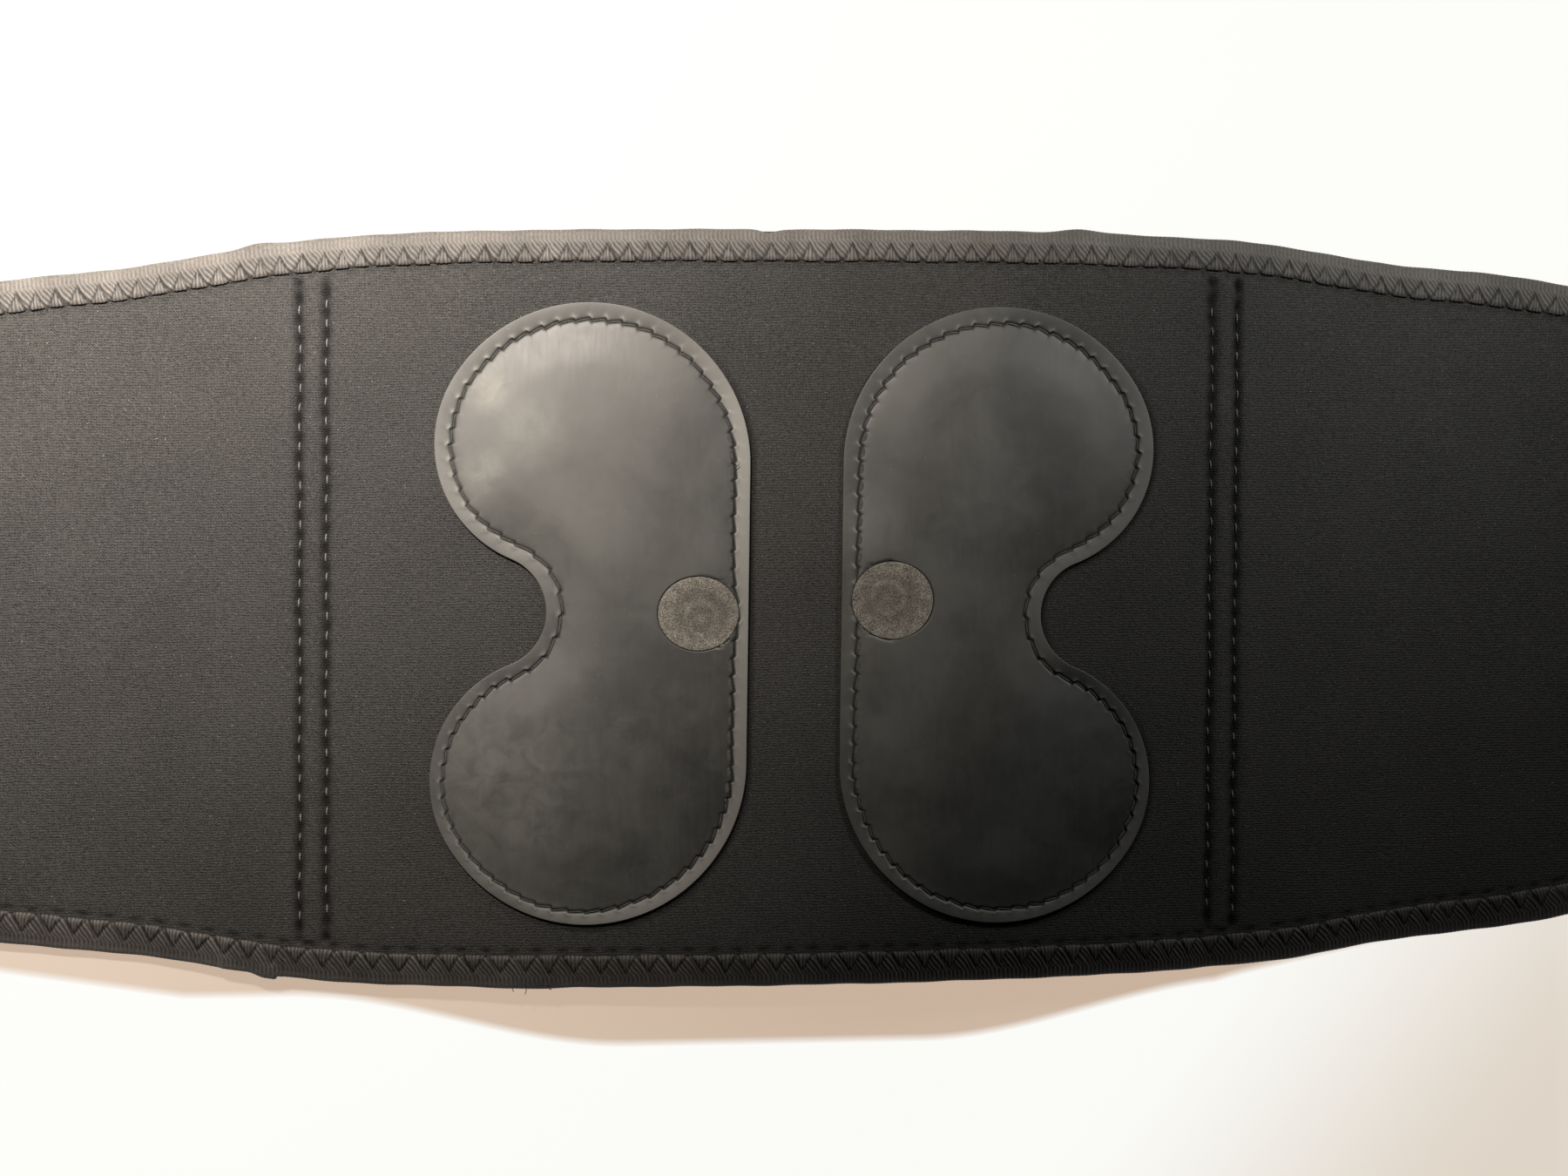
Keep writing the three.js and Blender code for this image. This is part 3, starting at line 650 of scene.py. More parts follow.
def thread_material(name, low, high):
    sh = Shade(name)
    rest = sh.attribute("rest")
    twist = sh.sine(sh.split(rest)[0], 0.34)
    fac = sh.ramp(sh.times(twist, 0.10, sh.noise(rest, 4.0, 3.0)), 0.3, 0.75)
    return sh.finish(sh.mix(fac, low, high), 0.48, sh.bump(twist, 0.00003, 0.8), Sheen_Weight=0.25,
                     Sheen_Roughness=0.4, Specular_IOR_Level=0.5)


def loop_material():
    sh = Shade("outer_loop_pile")
    rest = sh.attribute("rest")
    curl = sh.noise(rest, 1.25, 5.0, 0.72, 1.4)
    nap = sh.noise(sh.stretch(rest, (0.30, 1.1, 1.0)), 1.0, 4.0, 0.65, 0.5)
    cloud = sh.noise(rest, 0.03, 3.0)
    rows = sh.sine(sh.split(rest)[1], 1.35)
    pile = sh.times(nap, 0.5, sh.times(cloud, 0.45, sh.times(rows, 0.05, curl)))
    color = sh.mix(sh.ramp(pile, 0.72, 1.22), (0.009, 0.009, 0.0092), (0.050, 0.049, 0.048))
    color = sh.cover(color, sh.specks(rest, 7.0, 0.20, 0.3), 0.5, (0.3, 0.3, 0.3))
    height = sh.times(curl, 1.4, sh.times(rows, 0.10, nap))
    return sh.finish(color, 0.86, sh.bump(height, 0.00045, 0.9), Sheen_Weight=0.5,
                     Sheen_Roughness=0.45, Sheen_Tint=(0.85, 0.86, 0.9), Specular_IOR_Level=0.3)


def foam_material():
    sh = Shade("neoprene_foam")
    cells = sh.node("ShaderNodeTexVoronoi", {"Vector": sh.attribute("rest"), "Scale": 2.6})
    cell = cells.outputs["Distance"]
    color = sh.mix(sh.ramp(cell, 0.1, 0.6), (0.008, 0.008, 0.008), (0.030, 0.030, 0.031))
    return sh.finish(color, 0.85, sh.bump(cell, 0.00015, 0.8), Specular_IOR_Level=0.3)


def tape_material():
    sh = Shade("channel_tape")
    rest = sh.attribute("rest")
    x, y, _ = sh.split(rest)
    twill = sh.sine(sh.plus(x, sh.times(y, 0.8)), 0.9)
    cross = sh.sine(y, 0.5)
    yarn = sh.noise(rest, 2.2, 4.0, 0.65)
    fac = sh.ramp(sh.times(twill, 0.14, sh.times(cross, 0.06, yarn)), 0.3, 0.8)
    color = sh.mix(fac, (0.011, 0.011, 0.011), (0.058, 0.057, 0.055))
    height = sh.times(twill, 0.5, sh.times(cross, 0.25, yarn))
    return sh.finish(color, 0.6, sh.bump(height, 0.00013, 0.8), Sheen_Weight=0.2,
                     Sheen_Roughness=0.4)


def steel_material(name, low, high, rough):
    """Nickel or spring steel with turning marks and fine scratches."""
    sh = Shade(name)
    coords = sh.node("ShaderNodeTexCoord").outputs["Object"]
    fine = sh.noise(coords, 900.0, 4.0, 0.7)
    scratch = sh.noise(sh.stretch(coords, (250.0, 3200.0, 900.0), 0.4), 1.0, 3.0, 0.6)
    spots = sh.noise(coords, 160.0, 4.0, 0.6)
    color = sh.mix(sh.ramp(sh.times(spots, 0.6, sh.times(fine, 0.4)), 0.35, 0.7), low, high)
    rough = sh.ramp(scratch, 0.3, 0.7, rough - 0.07, rough + 0.1)
    return sh.finish(color, rough, sh.bump(sh.plus(scratch, fine), 0.00001, 0.6), Metallic=1.0)


def moulded_material(name, low, high, rough):
    sh = Shade(name)
    coords = sh.node("ShaderNodeTexCoord").outputs["Object"]
    grain = sh.noise(coords, 1500.0, 3.0, 0.6)
    color = sh.mix(sh.ramp(sh.noise(coords, 120.0, 3.0), 0.35, 0.65), low, high)
    rough = sh.ramp(grain, 0.3, 0.7, rough - 0.05, rough + 0.08)
    return sh.finish(color, rough, sh.bump(grain, 0.00002, 0.7))


def hook_material():
    sh = Shade("hook_nylon")
    rest = sh.attribute("rest")
    cloud = sh.noise(rest, 0.4, 3.0)
    fine = sh.noise(rest, 5.0, 3.0)
    fac = sh.ramp(sh.times(fine, 0.4, cloud), 0.45, 0.95)
    color = sh.mix(fac, (0.010, 0.010, 0.010), (0.040, 0.040, 0.042))
    return sh.finish(color, 0.42, sh.bump(fine, 0.00003, 0.6), Specular_IOR_Level=0.5)


KNIT = knit_material()
TAPE_RIB = binding_material()
RUBBER = rubber_material()
FELT = felt_material()
THREAD = thread_material("sewing_thread", (0.012, 0.012, 0.012), (0.080, 0.078, 0.075))
THREAD_PAD = thread_material("electrode_thread", (0.024, 0.024, 0.022), (0.150, 0.148, 0.137))
THREAD_STAY = thread_material("stay_thread", (0.07, 0.069, 0.066), (0.30, 0.295, 0.28))
LINT = thread_material("lint_fibre", (0.25, 0.24, 0.22), (0.55, 0.53, 0.50))
FELT_FIBRE = thread_material("felt_fibre", (0.14, 0.131, 0.116), (0.38, 0.357, 0.315))
LOOP_PILE = loop_material()
FOAM = foam_material()
CHANNEL = tape_material()
NICKEL = steel_material("snap_nickel", (0.42, 0.41, 0.39), (0.72, 0.71, 0.69), 0.26)
SPRING = steel_material("spring_steel", (0.20, 0.21, 0.23), (0.42, 0.43, 0.45), 0.34)
NYLON = moulded_material("cap_nylon", (0.010, 0.010, 0.010), (0.028, 0.028, 0.029), 0.42)
HOOK = hook_material()


# ---- placing pieces on bodies

SEGMENTS = {
    "lumbar": ("lumbar_panel", None),
    "left_side": ("lumbar_panel", "left_side_wing"),
    "right_side": ("lumbar_panel", "right_side_wing"),
    "left_front": ("left_side_wing", "left_front_wing"),
    "right_front": ("right_side_wing", "right_front_wing"),
}


def place(obj, segment, slot, *nodes):
    """Hides the CAD nodes that a piece replaces, and hangs the piece on its segment's body;
    a piece of a segment between two bodies only keeps its place. The slot is not used.
    """
    if nodes:
        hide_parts(*nodes)
    a, b = SEGMENTS[segment]
    if b is None:
        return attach(obj, a)
    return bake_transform(obj)


def threads(name, segment, material, paths, radius, sides=6, rests=None, slot="nylon", squash=1.0):
    """One piece of many threads. rests has a rest place for each point of the paths."""
    verts, faces = tubes(paths, radius, sides, squash)
    rest = None if rests is None else np.repeat(rests.reshape(-1, 3), sides, 0)
    place(make(name, verts, faces, material, rest), segment, slot)


# ---- laminate: lining, foam, outer face

def with_end_loops(places):
    """The same places and one more close to each end, to keep the faces level up to the joint."""
    places = np.asarray(places, float)
    first, last = places[0], places[-1]
    step = np.sign(last - first) * 0.03
    return np.concatenate([[first, first + step], places[1:-1], [last - step, last]])


def columns(segment):
    """Places along the belt where a segment's sheets have their columns, close at the stay rows."""
    if segment == "lumbar":
        fine = np.arange(108.6, STAY_ROWS[1] + 0.01, 0.42)
        fine = np.append(fine[fine < STAY_ROWS[1] - 0.1], STAY_ROWS[1])
        return with_end_loops(np.concatenate([-fine[::-1], np.arange(-107.9, 108.0, 0.95), fine]))
    if segment.endswith("side"):
        fine = np.arange(STAY_ROWS[1], 128.0, 0.42)
        right = np.concatenate([fine, np.linspace(128.4, WING_CUT, 90)])
    else:
        turn = TIP_X + (TIP_RADIUS - CLOTH_D) * np.sin(np.linspace(0, PI / 2, 22)[1:])
        right = np.concatenate([np.linspace(WING_CUT, TIP_X, 130), turn])
    return with_end_loops(right if segment.startswith("right") else -right[::-1])


def across(fine_edge, fine_step, mid_step):
    """Places across the belt, -1 to 1, close together near both edges."""
    edge = 1 - np.arange(0, fine_edge, fine_step) / MID_HALF
    mid = np.linspace(-edge[-1], edge[-1], int(2 * edge[-1] * MID_HALF / mid_step) + 2)[1:-1]
    return np.concatenate([-edge, mid, edge[::-1]])


V_TOP, V_LOW, V_OUTER = across(14.0, 0.45, 1.5), across(14.0, 2.0, 8.0), across(14.0, 1.2, 2.4)


def row_wander(y, k, sign):
    """How far a sewn row strays from its line."""
    return 0.14 * np.sin(y / 6.1 + k * 2 + sign) + 0.10 * np.sin(y / 1.9 + k)


def row_phase(k, sign):
    """Where a row's stitches begin, in stitches."""
    return 0.31 * k + 0.2 * sign


def stay_rows(x, y):
    """Depth of the four sewn rows with the raised channels, and painted shade by how far a point
    lies in a row.
    """
    depth, mark = np.zeros_like(x), np.zeros_like(x)
    for sign in (-1, 1):
        for k, row in enumerate(STAY_ROWS):
            off = x - sign * row + row_wander(y, k, sign)
            pit = 0.5 + 0.5 * np.cos(2 * PI * (y / STAY_PITCH + row_phase(k, sign)))
            depth = depth - (0.55 + 0.40 * pit) * bell(off / (0.95 + 0.20 * pit))
            # painted shade in the row's crease, darkest at the stitch holes
            mark = mark + 0.50 * bell(off / 1.5)
            mark = mark + (0.20 + 0.60 * pit) * bell(off / (0.60 + 0.35 * pit))
        off = np.abs(x - sign * STAY_X)
        depth = depth + 0.34 * bell(off / 2.3) + 0.16 * bell((off - 6.2) / 2.4)
        depth = depth + 0.05 * np.sin(y / 2.3 + x / 1.7) * bell(off / 3.0)
    sewn = smooth((half_height(STAY_X) - 9.0 - np.abs(y)) / 2.2)
    return depth * sewn, np.clip(mark, 0, 1) * sewn


def stay_sink(x, y):
    """How far the layers under the lining's face are drawn down along the sewn rows."""
    sink = sum(1.15 * bell((x - sign * row) / 1.7) for sign in (-1, 1) for row in STAY_ROWS)
    return np.minimum(sink, 1.3) * smooth((half_height(STAY_X) - 8.0 - np.abs(y)) / 3.0)


def pad_outline(inset, step):
    """The pad's outline on its own axes, u from the straight edge and v up, every step mm along it:
    places, ways out, runs and the whole length."""
    lean = math.radians(LOBE_FROM)
    shoulder = (PAD_W - LOBE_R * (1 + math.cos(lean))) / (1 - math.cos(lean))
    rise = PAD_H / 2 - shoulder
    lobe_u = shoulder - (shoulder - LOBE_R) * math.cos(lean)
    lobe_v = rise + (shoulder - LOBE_R) * math.sin(lean)
    nip = WAIST_W - lobe_u
    waist = (nip ** 2 + lobe_v ** 2 - LOBE_R ** 2) / (2 * (LOBE_R - nip))
    drop = math.asin(lobe_v / (LOBE_R + waist))
    arcs = [(shoulder, rise, shoulder, PI, PI - lean), (lobe_u, lobe_v, LOBE_R, PI - lean, -drop),
            (WAIST_W + waist, 0.0, -waist, -drop, drop), (lobe_u, -lobe_v, LOBE_R, drop, lean - PI),
            (shoulder, -rise, shoulder, lean - PI, -PI)]
    line = np.arange(0, 2 * rise, step)
    pts = [np.column_stack([0 * line, -rise + line])]
    ways = [np.column_stack([-1 + 0 * line, 0 * line])]
    for cu, cv, radius, a0, a1 in arcs:
        n = max(int(abs(a1 - a0) * abs(radius) / step), 2)
        a = np.linspace(a0, a1, n + 1)[:-1]
        ways.append(np.column_stack([np.cos(a), np.sin(a)]))
        pts.append(np.array([cu, cv]) + radius * ways[-1])
    pts, ways = np.vstack(pts), np.vstack(ways)
    run = run_along(np.vstack([pts, pts[:1]]))
    return pts - ways * inset, ways, run[:-1], run[-1]


def pad_frame(side, uv):
    """From a pad's own axes to the belt."""
    sign = -1 if side == "left" else 1
    sx, sy = SNAP[side]
    u, v = sign * (uv[..., 0] - SNAP_INSET), uv[..., 1] + PAD_MID_Y - sy
    c, s = math.cos(PAD_TURN), math.sin(PAD_TURN)
    return np.stack([sx + c * u - s * v, sy + s * u + c * v], -1)


def nearest(places, line):
    """Which point of a line lies nearest to each place, and how far it is."""
    gap = np.hypot(places[:, :1] - line[:, 0], places[:, 1:] - line[:, 1])
    return np.argmin(gap, 1), np.min(gap, 1)


def near_pad(side, x0, x1, y0, y1, margin):
    """Whether something from x0 to x1 and y0 to y1 lies over a pad's box."""
    lo, hi = PADS[side]
    return ((x0 > lo[0] - margin) & (x1 < hi[0] + margin)
            & (y0 > lo[1] - margin) & (y1 < hi[1] + margin))


def pad_shade(x, y):
    """Painted shadow of the pads on the cloth beside their right and lower edges."""
    shade = np.zeros_like(x)
    for side in PADS:
        close = near_pad(side, x, x, y, y, 3)
        uv, ways, _, _ = pad_outline(0.0, 1.0)
        edge = pad_frame(side, uv)
        out = pad_frame(side, uv + ways) - edge
        places = np.stack([x[close], y[close]], -1)
        near, _ = nearest(places, edge)
        away = np.sum((places - edge[near]) * out[near], 1)
        # the painted shadow lies only beside edges that face right and down, away from the lamp
        facing = smooth((0.85 * out[near, 0] - 0.55 * out[near, 1] + 0.05) / 0.9)
        fold_and_shadow = facing * (away > -1.5) * (1 - smooth((away - 0.5) / 1.5))
        shade[close] = np.maximum(shade[close], fold_and_shadow)
    return shade


SLOPE_X = np.linspace(-TIP_X, TIP_X, 2001)
SLOPE = np.gradient(half_height(SLOPE_X), SLOPE_X)


def from_edge(x, y):
    """Run along the outline and distance in from it."""
    cosine = 1 / np.sqrt(1 + np.interp(x, SLOPE_X, SLOPE) ** 2)
    tip = np.maximum(np.abs(x) - TIP_X, 0)
    round_d = TIP_RADIUS - np.hypot(tip, np.maximum(np.abs(y) - TIP_Y, 0))
    d = np.where(tip > 0, round_d, (half_height(x) - np.abs(y)) * cosine)
    return np.where(y > 0, s_at(x, True), s_at(x, False)), d


def skin(x, y):
    """Upper face of the lining over its lift, and its painted shade in seams and beside the pads.
    """
    z, mark = stay_rows(x, y)
    s, d = from_edge(x, y)
    n = zig_count(s)
    k = np.floor(n + 0.5)
    run = (n - k) * zig_size(s)
    strong = np.where(y > 0, 0.45, 1.0)
    dimple = bell(run / (1.15 + 0.5 * hash01(k))) * bell((d - FOOT_D - 0.75) / 0.6) * strong
    z = z - (0.05 + 0.36 * dimple * (0.6 + 0.8 * hash01(k + 7))) * smooth((12.5 - d) / 3.6)
    z = z - 0.30 * smooth((8.3 - d) / 1.5)
    # painted shade in the dimples at the zigzag's feet and along the tape's inner edge
    mark = np.maximum(mark, np.clip(0.85 * dimple + 0.22 * bell((d - BIND_D) / 0.35), 0, 1))
    return z, np.maximum(mark, 0.9 * pad_shade(x, y))


def cloth_columns(segment, v, inset, z, detail=False):
    """One face of the laminate; it is pressed thin inside the tape and along the stay rows."""
    xs = columns(segment)
    reach = half_height(np.clip(xs, -HALF_LENGTH + CLOTH_D, HALF_LENGTH - CLOTH_D)) - inset
    y = reach[:, None] * v[None, :]
    x = np.repeat(xs[:, None], len(v), 1)
    top, mark = skin(x, y) if detail else (0.0, np.zeros_like(y))
    press = bind_fall(*from_edge(x, y)) + stay_sink(x, y) * (not detail)
    press = press * (z - Z_OUTER) / (Z_SKIN - Z_OUTER)
    x, y = warp(x, y)
    return laid(x, y, z + top - press), mark


for segment in SEGMENTS:
    top, mark = cloth_columns(segment, V_TOP, CLOTH_D, Z_SKIN, True)
    low, unmarked = cloth_columns(segment, V_LOW, CLOTH_D, Z_LINING)
    tone = np.concatenate([mark.ravel(), unmarked.ravel()])
    verts, faces = slab(top, low)
    lining = make(f"lining_{segment}", verts, faces, KNIT, verts, tone)
    place(lining, segment, "lining", f"{segment}_lining")
    top, _ = cloth_columns(segment, V_LOW, 0.8, Z_LINING - 0.03)
    low, _ = cloth_columns(segment, V_LOW, 0.8, Z_CORE + 0.03)
    foam = make(f"foam_{segment}", *slab(top, low), FOAM)
    place(foam, segment, "foam", f"{segment}_core")
    top, _ = cloth_columns(segment, V_LOW, CLOTH_D, Z_CORE)
    low, _ = cloth_columns(segment, V_OUTER, CLOTH_D, Z_OUTER)
    x, y = low[..., 0], low[..., 1]
    low[..., 2] += 0.05 * np.sin(x / 1.1 + np.sin(y / 1.7)) * np.sin(y / 1.3)
    verts, faces = slab(low, top)
    outer = make(f"outer_face_{segment}", verts, flip(faces), LOOP_PILE)
    place(outer, segment, "loop", f"{segment}_outer_face")


# ---- edge binding

def bind_ring(s, top_step, under_step, nose_steps):
    """Sections of the folded tape for runs s: the outer skin from the upper inner edge round the
    nose to the lower inner edge, and back along the inner skin. Each comes with its rest places
    and its tone, the painted shade in the furrows and grooves and all over the inner skin."""
    px, py, nx, ny = (a[:, None] for a in loop_point(s))
    s = s[:, None]
    inner = bind_inner(s)
    inner_low = BIND_D - 0.2 + 0.25 * np.sin(s / 5.3)
    t = np.linspace(1, 0, int((BIND_D - NOSE_D) / top_step) + 1)[None, :]
    d_top = NOSE_D + (inner - NOSE_D) * t
    a = np.linspace(0, PI, nose_steps + 2)[1:-1][None, :]
    u = np.linspace(0, 1, int((BIND_D - NOSE_D) / under_step) + 1)[None, :]
    d_low = NOSE_D + (inner_low - NOSE_D) * u
    slump = bind_slump(s)
    mid, half = (Z_BIND_HI - slump + Z_BIND_LO) / 2, (Z_BIND_HI - slump - Z_BIND_LO) / 2
    swell = edge_swell(s)
    relief, dark_top = bind_relief(s, d_top, False)
    relief_low, dark_low = bind_relief(s + UNDER_SHIFT, d_low, True)
    crown = 0.12 * np.sin(PI * np.clip((d_top - 1) / (BIND_D - 1), 0, 1))
    edge_round = -0.26 * bell((d_top - inner) / 0.24)
    z_top = (Z_BIND_HI - bind_fall(s, d_top) + relief + crown + edge_round
             + 0.35 * np.maximum(swell, 0) * smooth((4 - d_top) / 4))
    z_low = mid - half - relief_low * 0.7
    ribs = rib_wave(s + 0 * a)
    out = 0.03 * ribs
    d_nose = NOSE_D * (1 - np.sin(a)) - out * np.sin(a)
    z_nose = mid + (half + out) * np.cos(a)
    back = np.array([[BIND_D - 0.3, 4.5, 1.4]]) + 0 * s
    d_back = np.concatenate([back, back[:, ::-1]], 1)
    z_back = np.concatenate([Z_OUTER - 0.02 + 0 * back, Z_SKIN - bind_fall(s, back[:, ::-1])], 1)
    d = np.concatenate([d_top, d_nose, d_low, d_back], 1)
    z = np.concatenate([z_top, z_nose, z_low, z_back], 1)
    # painted shade: the face's furrows and grooves, the fold's furrows, and all the inner skin
    tone = np.concatenate([dark_top, 0.15 * (1 - ribs), dark_low, np.ones_like(d_back)], 1)
    outer_d = d - swell * smooth((5 - d) / 5)
    join = smooth((s - JOIN_S + 6) / 0.5) * smooth((JOIN_S + 11 - s) / 1.5)
    z = z + 0.45 * join * (z > mid)
    x, y = warp(px - nx * outer_d, py - ny * outer_d)
    return laid(x, y, z), np.stack([s + 0 * d, d, 0 * d], -1), tone


def lower(s):
    """The run on the lower edge below a run on the upper edge."""
    return LOOP_LENGTH - s


# where the tape's pieces meet, always in a furrow between two cords
LEFT_CUT, LEFT_STAY, RIGHT_STAY, RIGHT_CUT = (
    (math.floor(float(s_at(x, True)) / RIB) + 0.5) * RIB
    for x in (-WING_CUT, -STAY_ROWS[1], STAY_ROWS[1], WING_CUT))
RUNS = (("lumbar", "_top", LEFT_STAY, RIGHT_STAY),
        ("lumbar", "_bottom", lower(RIGHT_STAY), lower(LEFT_STAY)),
        ("left_side", "_top", LEFT_CUT, LEFT_STAY),
        ("right_side", "_top", RIGHT_STAY, RIGHT_CUT),
        ("right_side", "_bottom", lower(RIGHT_CUT), lower(RIGHT_STAY)),
        ("left_side", "_bottom", lower(LEFT_STAY), lower(LEFT_CUT)),
        ("right_front", "", RIGHT_CUT, lower(RIGHT_CUT)),
        ("left_front", "", lower(LEFT_CUT), LOOP_LENGTH + LEFT_CUT))
# step along the edge, then the steps over the tape, under it and round its fold
NEAR, FAR = (RIB / 4, 0.36, 0.95, 7), (RIB / 3, 0.62, 1.3, 6)

for segment, edge, s0, s1 in RUNS:
    step, *profile = FAR if segment.endswith("front") else NEAR
    s = with_end_loops(np.linspace(s0, s1, int(round((s1 - s0) / step)) + 1))
    rings, rest, tone = (a[:, ::-1] for a in bind_ring(s, *profile))
    verts, faces = sweep(rings)
    rest, tone = rest.reshape(-1, 3), tone.ravel()
    obj = make(f"binding_{segment}{edge}", verts, faces, TAPE_RIB, rest, tone)
    place(obj, segment, "binding", f"{segment}_binding{edge}")


# ---- threads of the binding and the stays

def on_bind(s, d, under):
    """Points on the tape's face, from the run along the edge and the distance from it."""
    px, py, nx, ny = loop_point(s)
    x, y = warp(px - nx * d, py - ny * d)
    height, _ = bind_relief(s + UNDER_SHIFT * under, d, under)
    z = Z_BIND_LO - 0.7 * height if under else Z_BIND_HI - bind_fall(s, d) + height + 0.1
    return laid(x, y, z)


def zigzag(name, segment, s0, s1, under):
    """Each leg of the zigzag as one sunken thread."""
    k = np.arange(math.ceil(2 * zig_count(s0) + 0.1), math.floor(2 * zig_count(s1) - 0.1))
    s = zig_run((k[:, None] + np.linspace(0.06, 0.94, 5)) / 2)
    d = np.minimum(zig_d(s), BIND_D + (-0.4 if under else 0.25))
    pts = on_bind(s - UNDER_SHIFT * under, d, under)
    pts[..., 2] += np.array([-0.34, -0.16, -0.12, -0.16, -0.34]) * (-1 if under else 1)
    threads(name, segment, THREAD, pts, [0.12, 0.15, 0.16, 0.15, 0.12], 5,
            np.stack([s * 1.7, d, 0 * d], -1))


for segment, edge, s0, s1 in RUNS:
    zigzag(f"zigzag_{segment}{edge}", segment, s0, s1, False)
    zigzag(f"zigzag_under_{segment}{edge}", segment, s0, s1, True)


def stay_threads(side, sign):
    """The two rows of stitches of a stay channel, each stitch a thread over the cloth."""
    paths, rests = [], []
    reach = half_height(STAY_X) - 10.5
    t = np.linspace(-1, 1, 7)
    for k, row in enumerate(STAY_ROWS):
        n = np.arange(math.ceil(-reach / STAY_PITCH), math.floor(reach / STAY_PITCH))[:, None]
        y = (n + 0.5 - row_phase(k, sign)) * STAY_PITCH + t * 1.25
        lean = 0.10 * (hash01(n + 5 * k) - 0.5)
        u = sign * row - row_wander(y, k, sign) + lean * t + 0.10
        z, _ = skin(u, y)
        x, _ = warp(u, y)
        dip = 0.20 - 0.42 * np.abs(t) ** 3
        paths.append(laid(x, y, Z_SKIN + z + dip))
        rests.append(np.stack([y, u, 0 * y], -1))
    threads(f"stay_stitches_{side}", "lumbar", THREAD_STAY, np.vstack(paths),
            [0.10, 0.17, 0.20, 0.21, 0.20, 0.17, 0.10], 6, np.vstack(rests))


stay_threads("left", -1)
stay_threads("right", 1)


# ---- electrodes

# distances in from the pad's edge where its face has rings, closest at the seam
RIM_D = np.array([0.0, 0.05, 0.12, 0.25, 0.6, 1.2, 1.9, 2.5, 2.90, 3.20, 3.42, 3.60, 3.75, 3.90,
                  4.05, 4.20, 4.40, 4.65, 4.95, 5.30, 5.8, 6.6, 8.2])
PAD_GRID = 1.35                      # pitch of the points inside the rings
SEAM_DEPTH, SLANT = 0.52, 0.62       # the seam is drawn down this far; each stitch lies aslant
DISC_GAP = 0.13                      # the rubber ends this close to the disc
DISC_SEAT = Z_EYELET + 0.10 - Z_PAD  # the disc's middle over the pad, clear of the eyelet
# the discs were cut by hand: middle beside the snap, width and height against the round cover
DISC_SHIFT = {"left": 0.55, "right": -0.30}
DISC_SCALE = {"left": (1.035, 0.950), "right": (1.045, 1.0)}
DISC_MID = {side: SNAP[side] + (DISC_SHIFT[side], 0.0) for side in PADS}


def disc_reach(side, x, y):
    """Distance from the disc's middle, scaled so that its cut edge lies at COVER_R."""
    (mx, my), (kx, ky) = DISC_MID[side], DISC_SCALE[side]
    return np.hypot((x - mx) / kx, (y - my) / ky)


def disc_height(side, x, y):
    """Face of the cover disc over the pad's flat height: a shallow dish with a ring round the
    eyelet, leaning down towards the pad's straight edge."""
    sx, sy = SNAP[side]
    dx, dy, inwards = (1.3, -1.5, 1) if side == "left" else (-1.5, 0.4, -1)
    off = np.hypot(x - sx - dx, y - sy - dy)
    dish = 0.24 * smooth((disc_reach(side, x, y) - 4.4) / 5.0)
    dish = dish + 0.09 * bell((off - 4.0) / 0.8) + 0.05 * bell(off / 1.3)
    return DISC_SEAT + dish - 0.020 * np.maximum((x - sx) * inwards - 2, 0)


def seam_slant(run, total):
    """How far a stitch has got across the seam at a run along it."""
    stitch = run / total * round(total / PAD_PITCH)
    return SLANT * (np.mod(stitch, 1) - 0.5) * (0.5 + hash01(np.floor(stitch) + 11))


def seam_waver(side, run, total, pts):
    """The sewing line wanders a little, and it swings out round the left disc."""
    turn = 2 * PI * run / total
    waver = 0.10 * np.sin(9 * turn + (1 if side == "left" else 4)) + 0.06 * np.sin(23 * turn)
    u, v = pts.T
    waver = waver + 0.45 * v / 78 - 0.35 * smooth((u - 30) / 20) * smooth(-v / 20)
    if side == "left":
        waver = waver - 1.30 * bell((v + PAD_MID_Y - SNAP[side][1]) / 6.5) * (u < 6)
    return waver


def pad_height(d, run, total, waver, rim=0.0):
    """Height of the pad's face over its flat thickness, and its tone: painted shade in the seam
    and its holes above zero, a painted highlight on the puckers and the rim below zero."""
    pitch = total / round(total / PAD_PITCH)
    hole = np.abs(np.mod(run / pitch + 0.5, 1) - 0.5) * pitch
    off = d - SEAM_INSET - waver
    lip = -0.08 - SEAM_DEPTH * np.clip(d / np.maximum(SEAM_INSET + waver, 1), 0, 1) ** 1.7
    slow = d - SEAM_INSET - waver * (1 - smooth((off - 0.3) / 2.2))
    inner = -0.08 - SEAM_DEPTH * np.exp(-np.maximum(slow, 0) / 2.1) + 0.32 * smooth((slow - 2) / 16)
    z = np.where(off < 0, lip, inner) - 0.25 * np.clip(1 - d / 0.12, 0, 1) ** 2
    z = z - 0.22 * bell(hole / 0.45) * bell(off / 0.60) - 0.46 * bell(off / 0.32)
    pucker = 0.24 * bell((off + 0.70) / 0.45) + 0.06 * bell((off - 0.8) / 0.45)
    pucker = pucker * bell(hole / 0.70)
    mark = 0.95 * bell(off / 0.27) + 0.7 * bell(hole / 0.45) * bell((off - 0.3) / 0.55)
    mark = np.clip(mark, 0, 1)
    # painted highlight on the puckers at the stitch ends and on the rim
    light = 0.75 * bell(hole / 0.60) * bell((off + 0.72) / 0.40)
    light = np.maximum(rim * smooth((-off - 0.30) / 0.5), light)
    return z + pucker, np.where(mark > light, mark, -light)


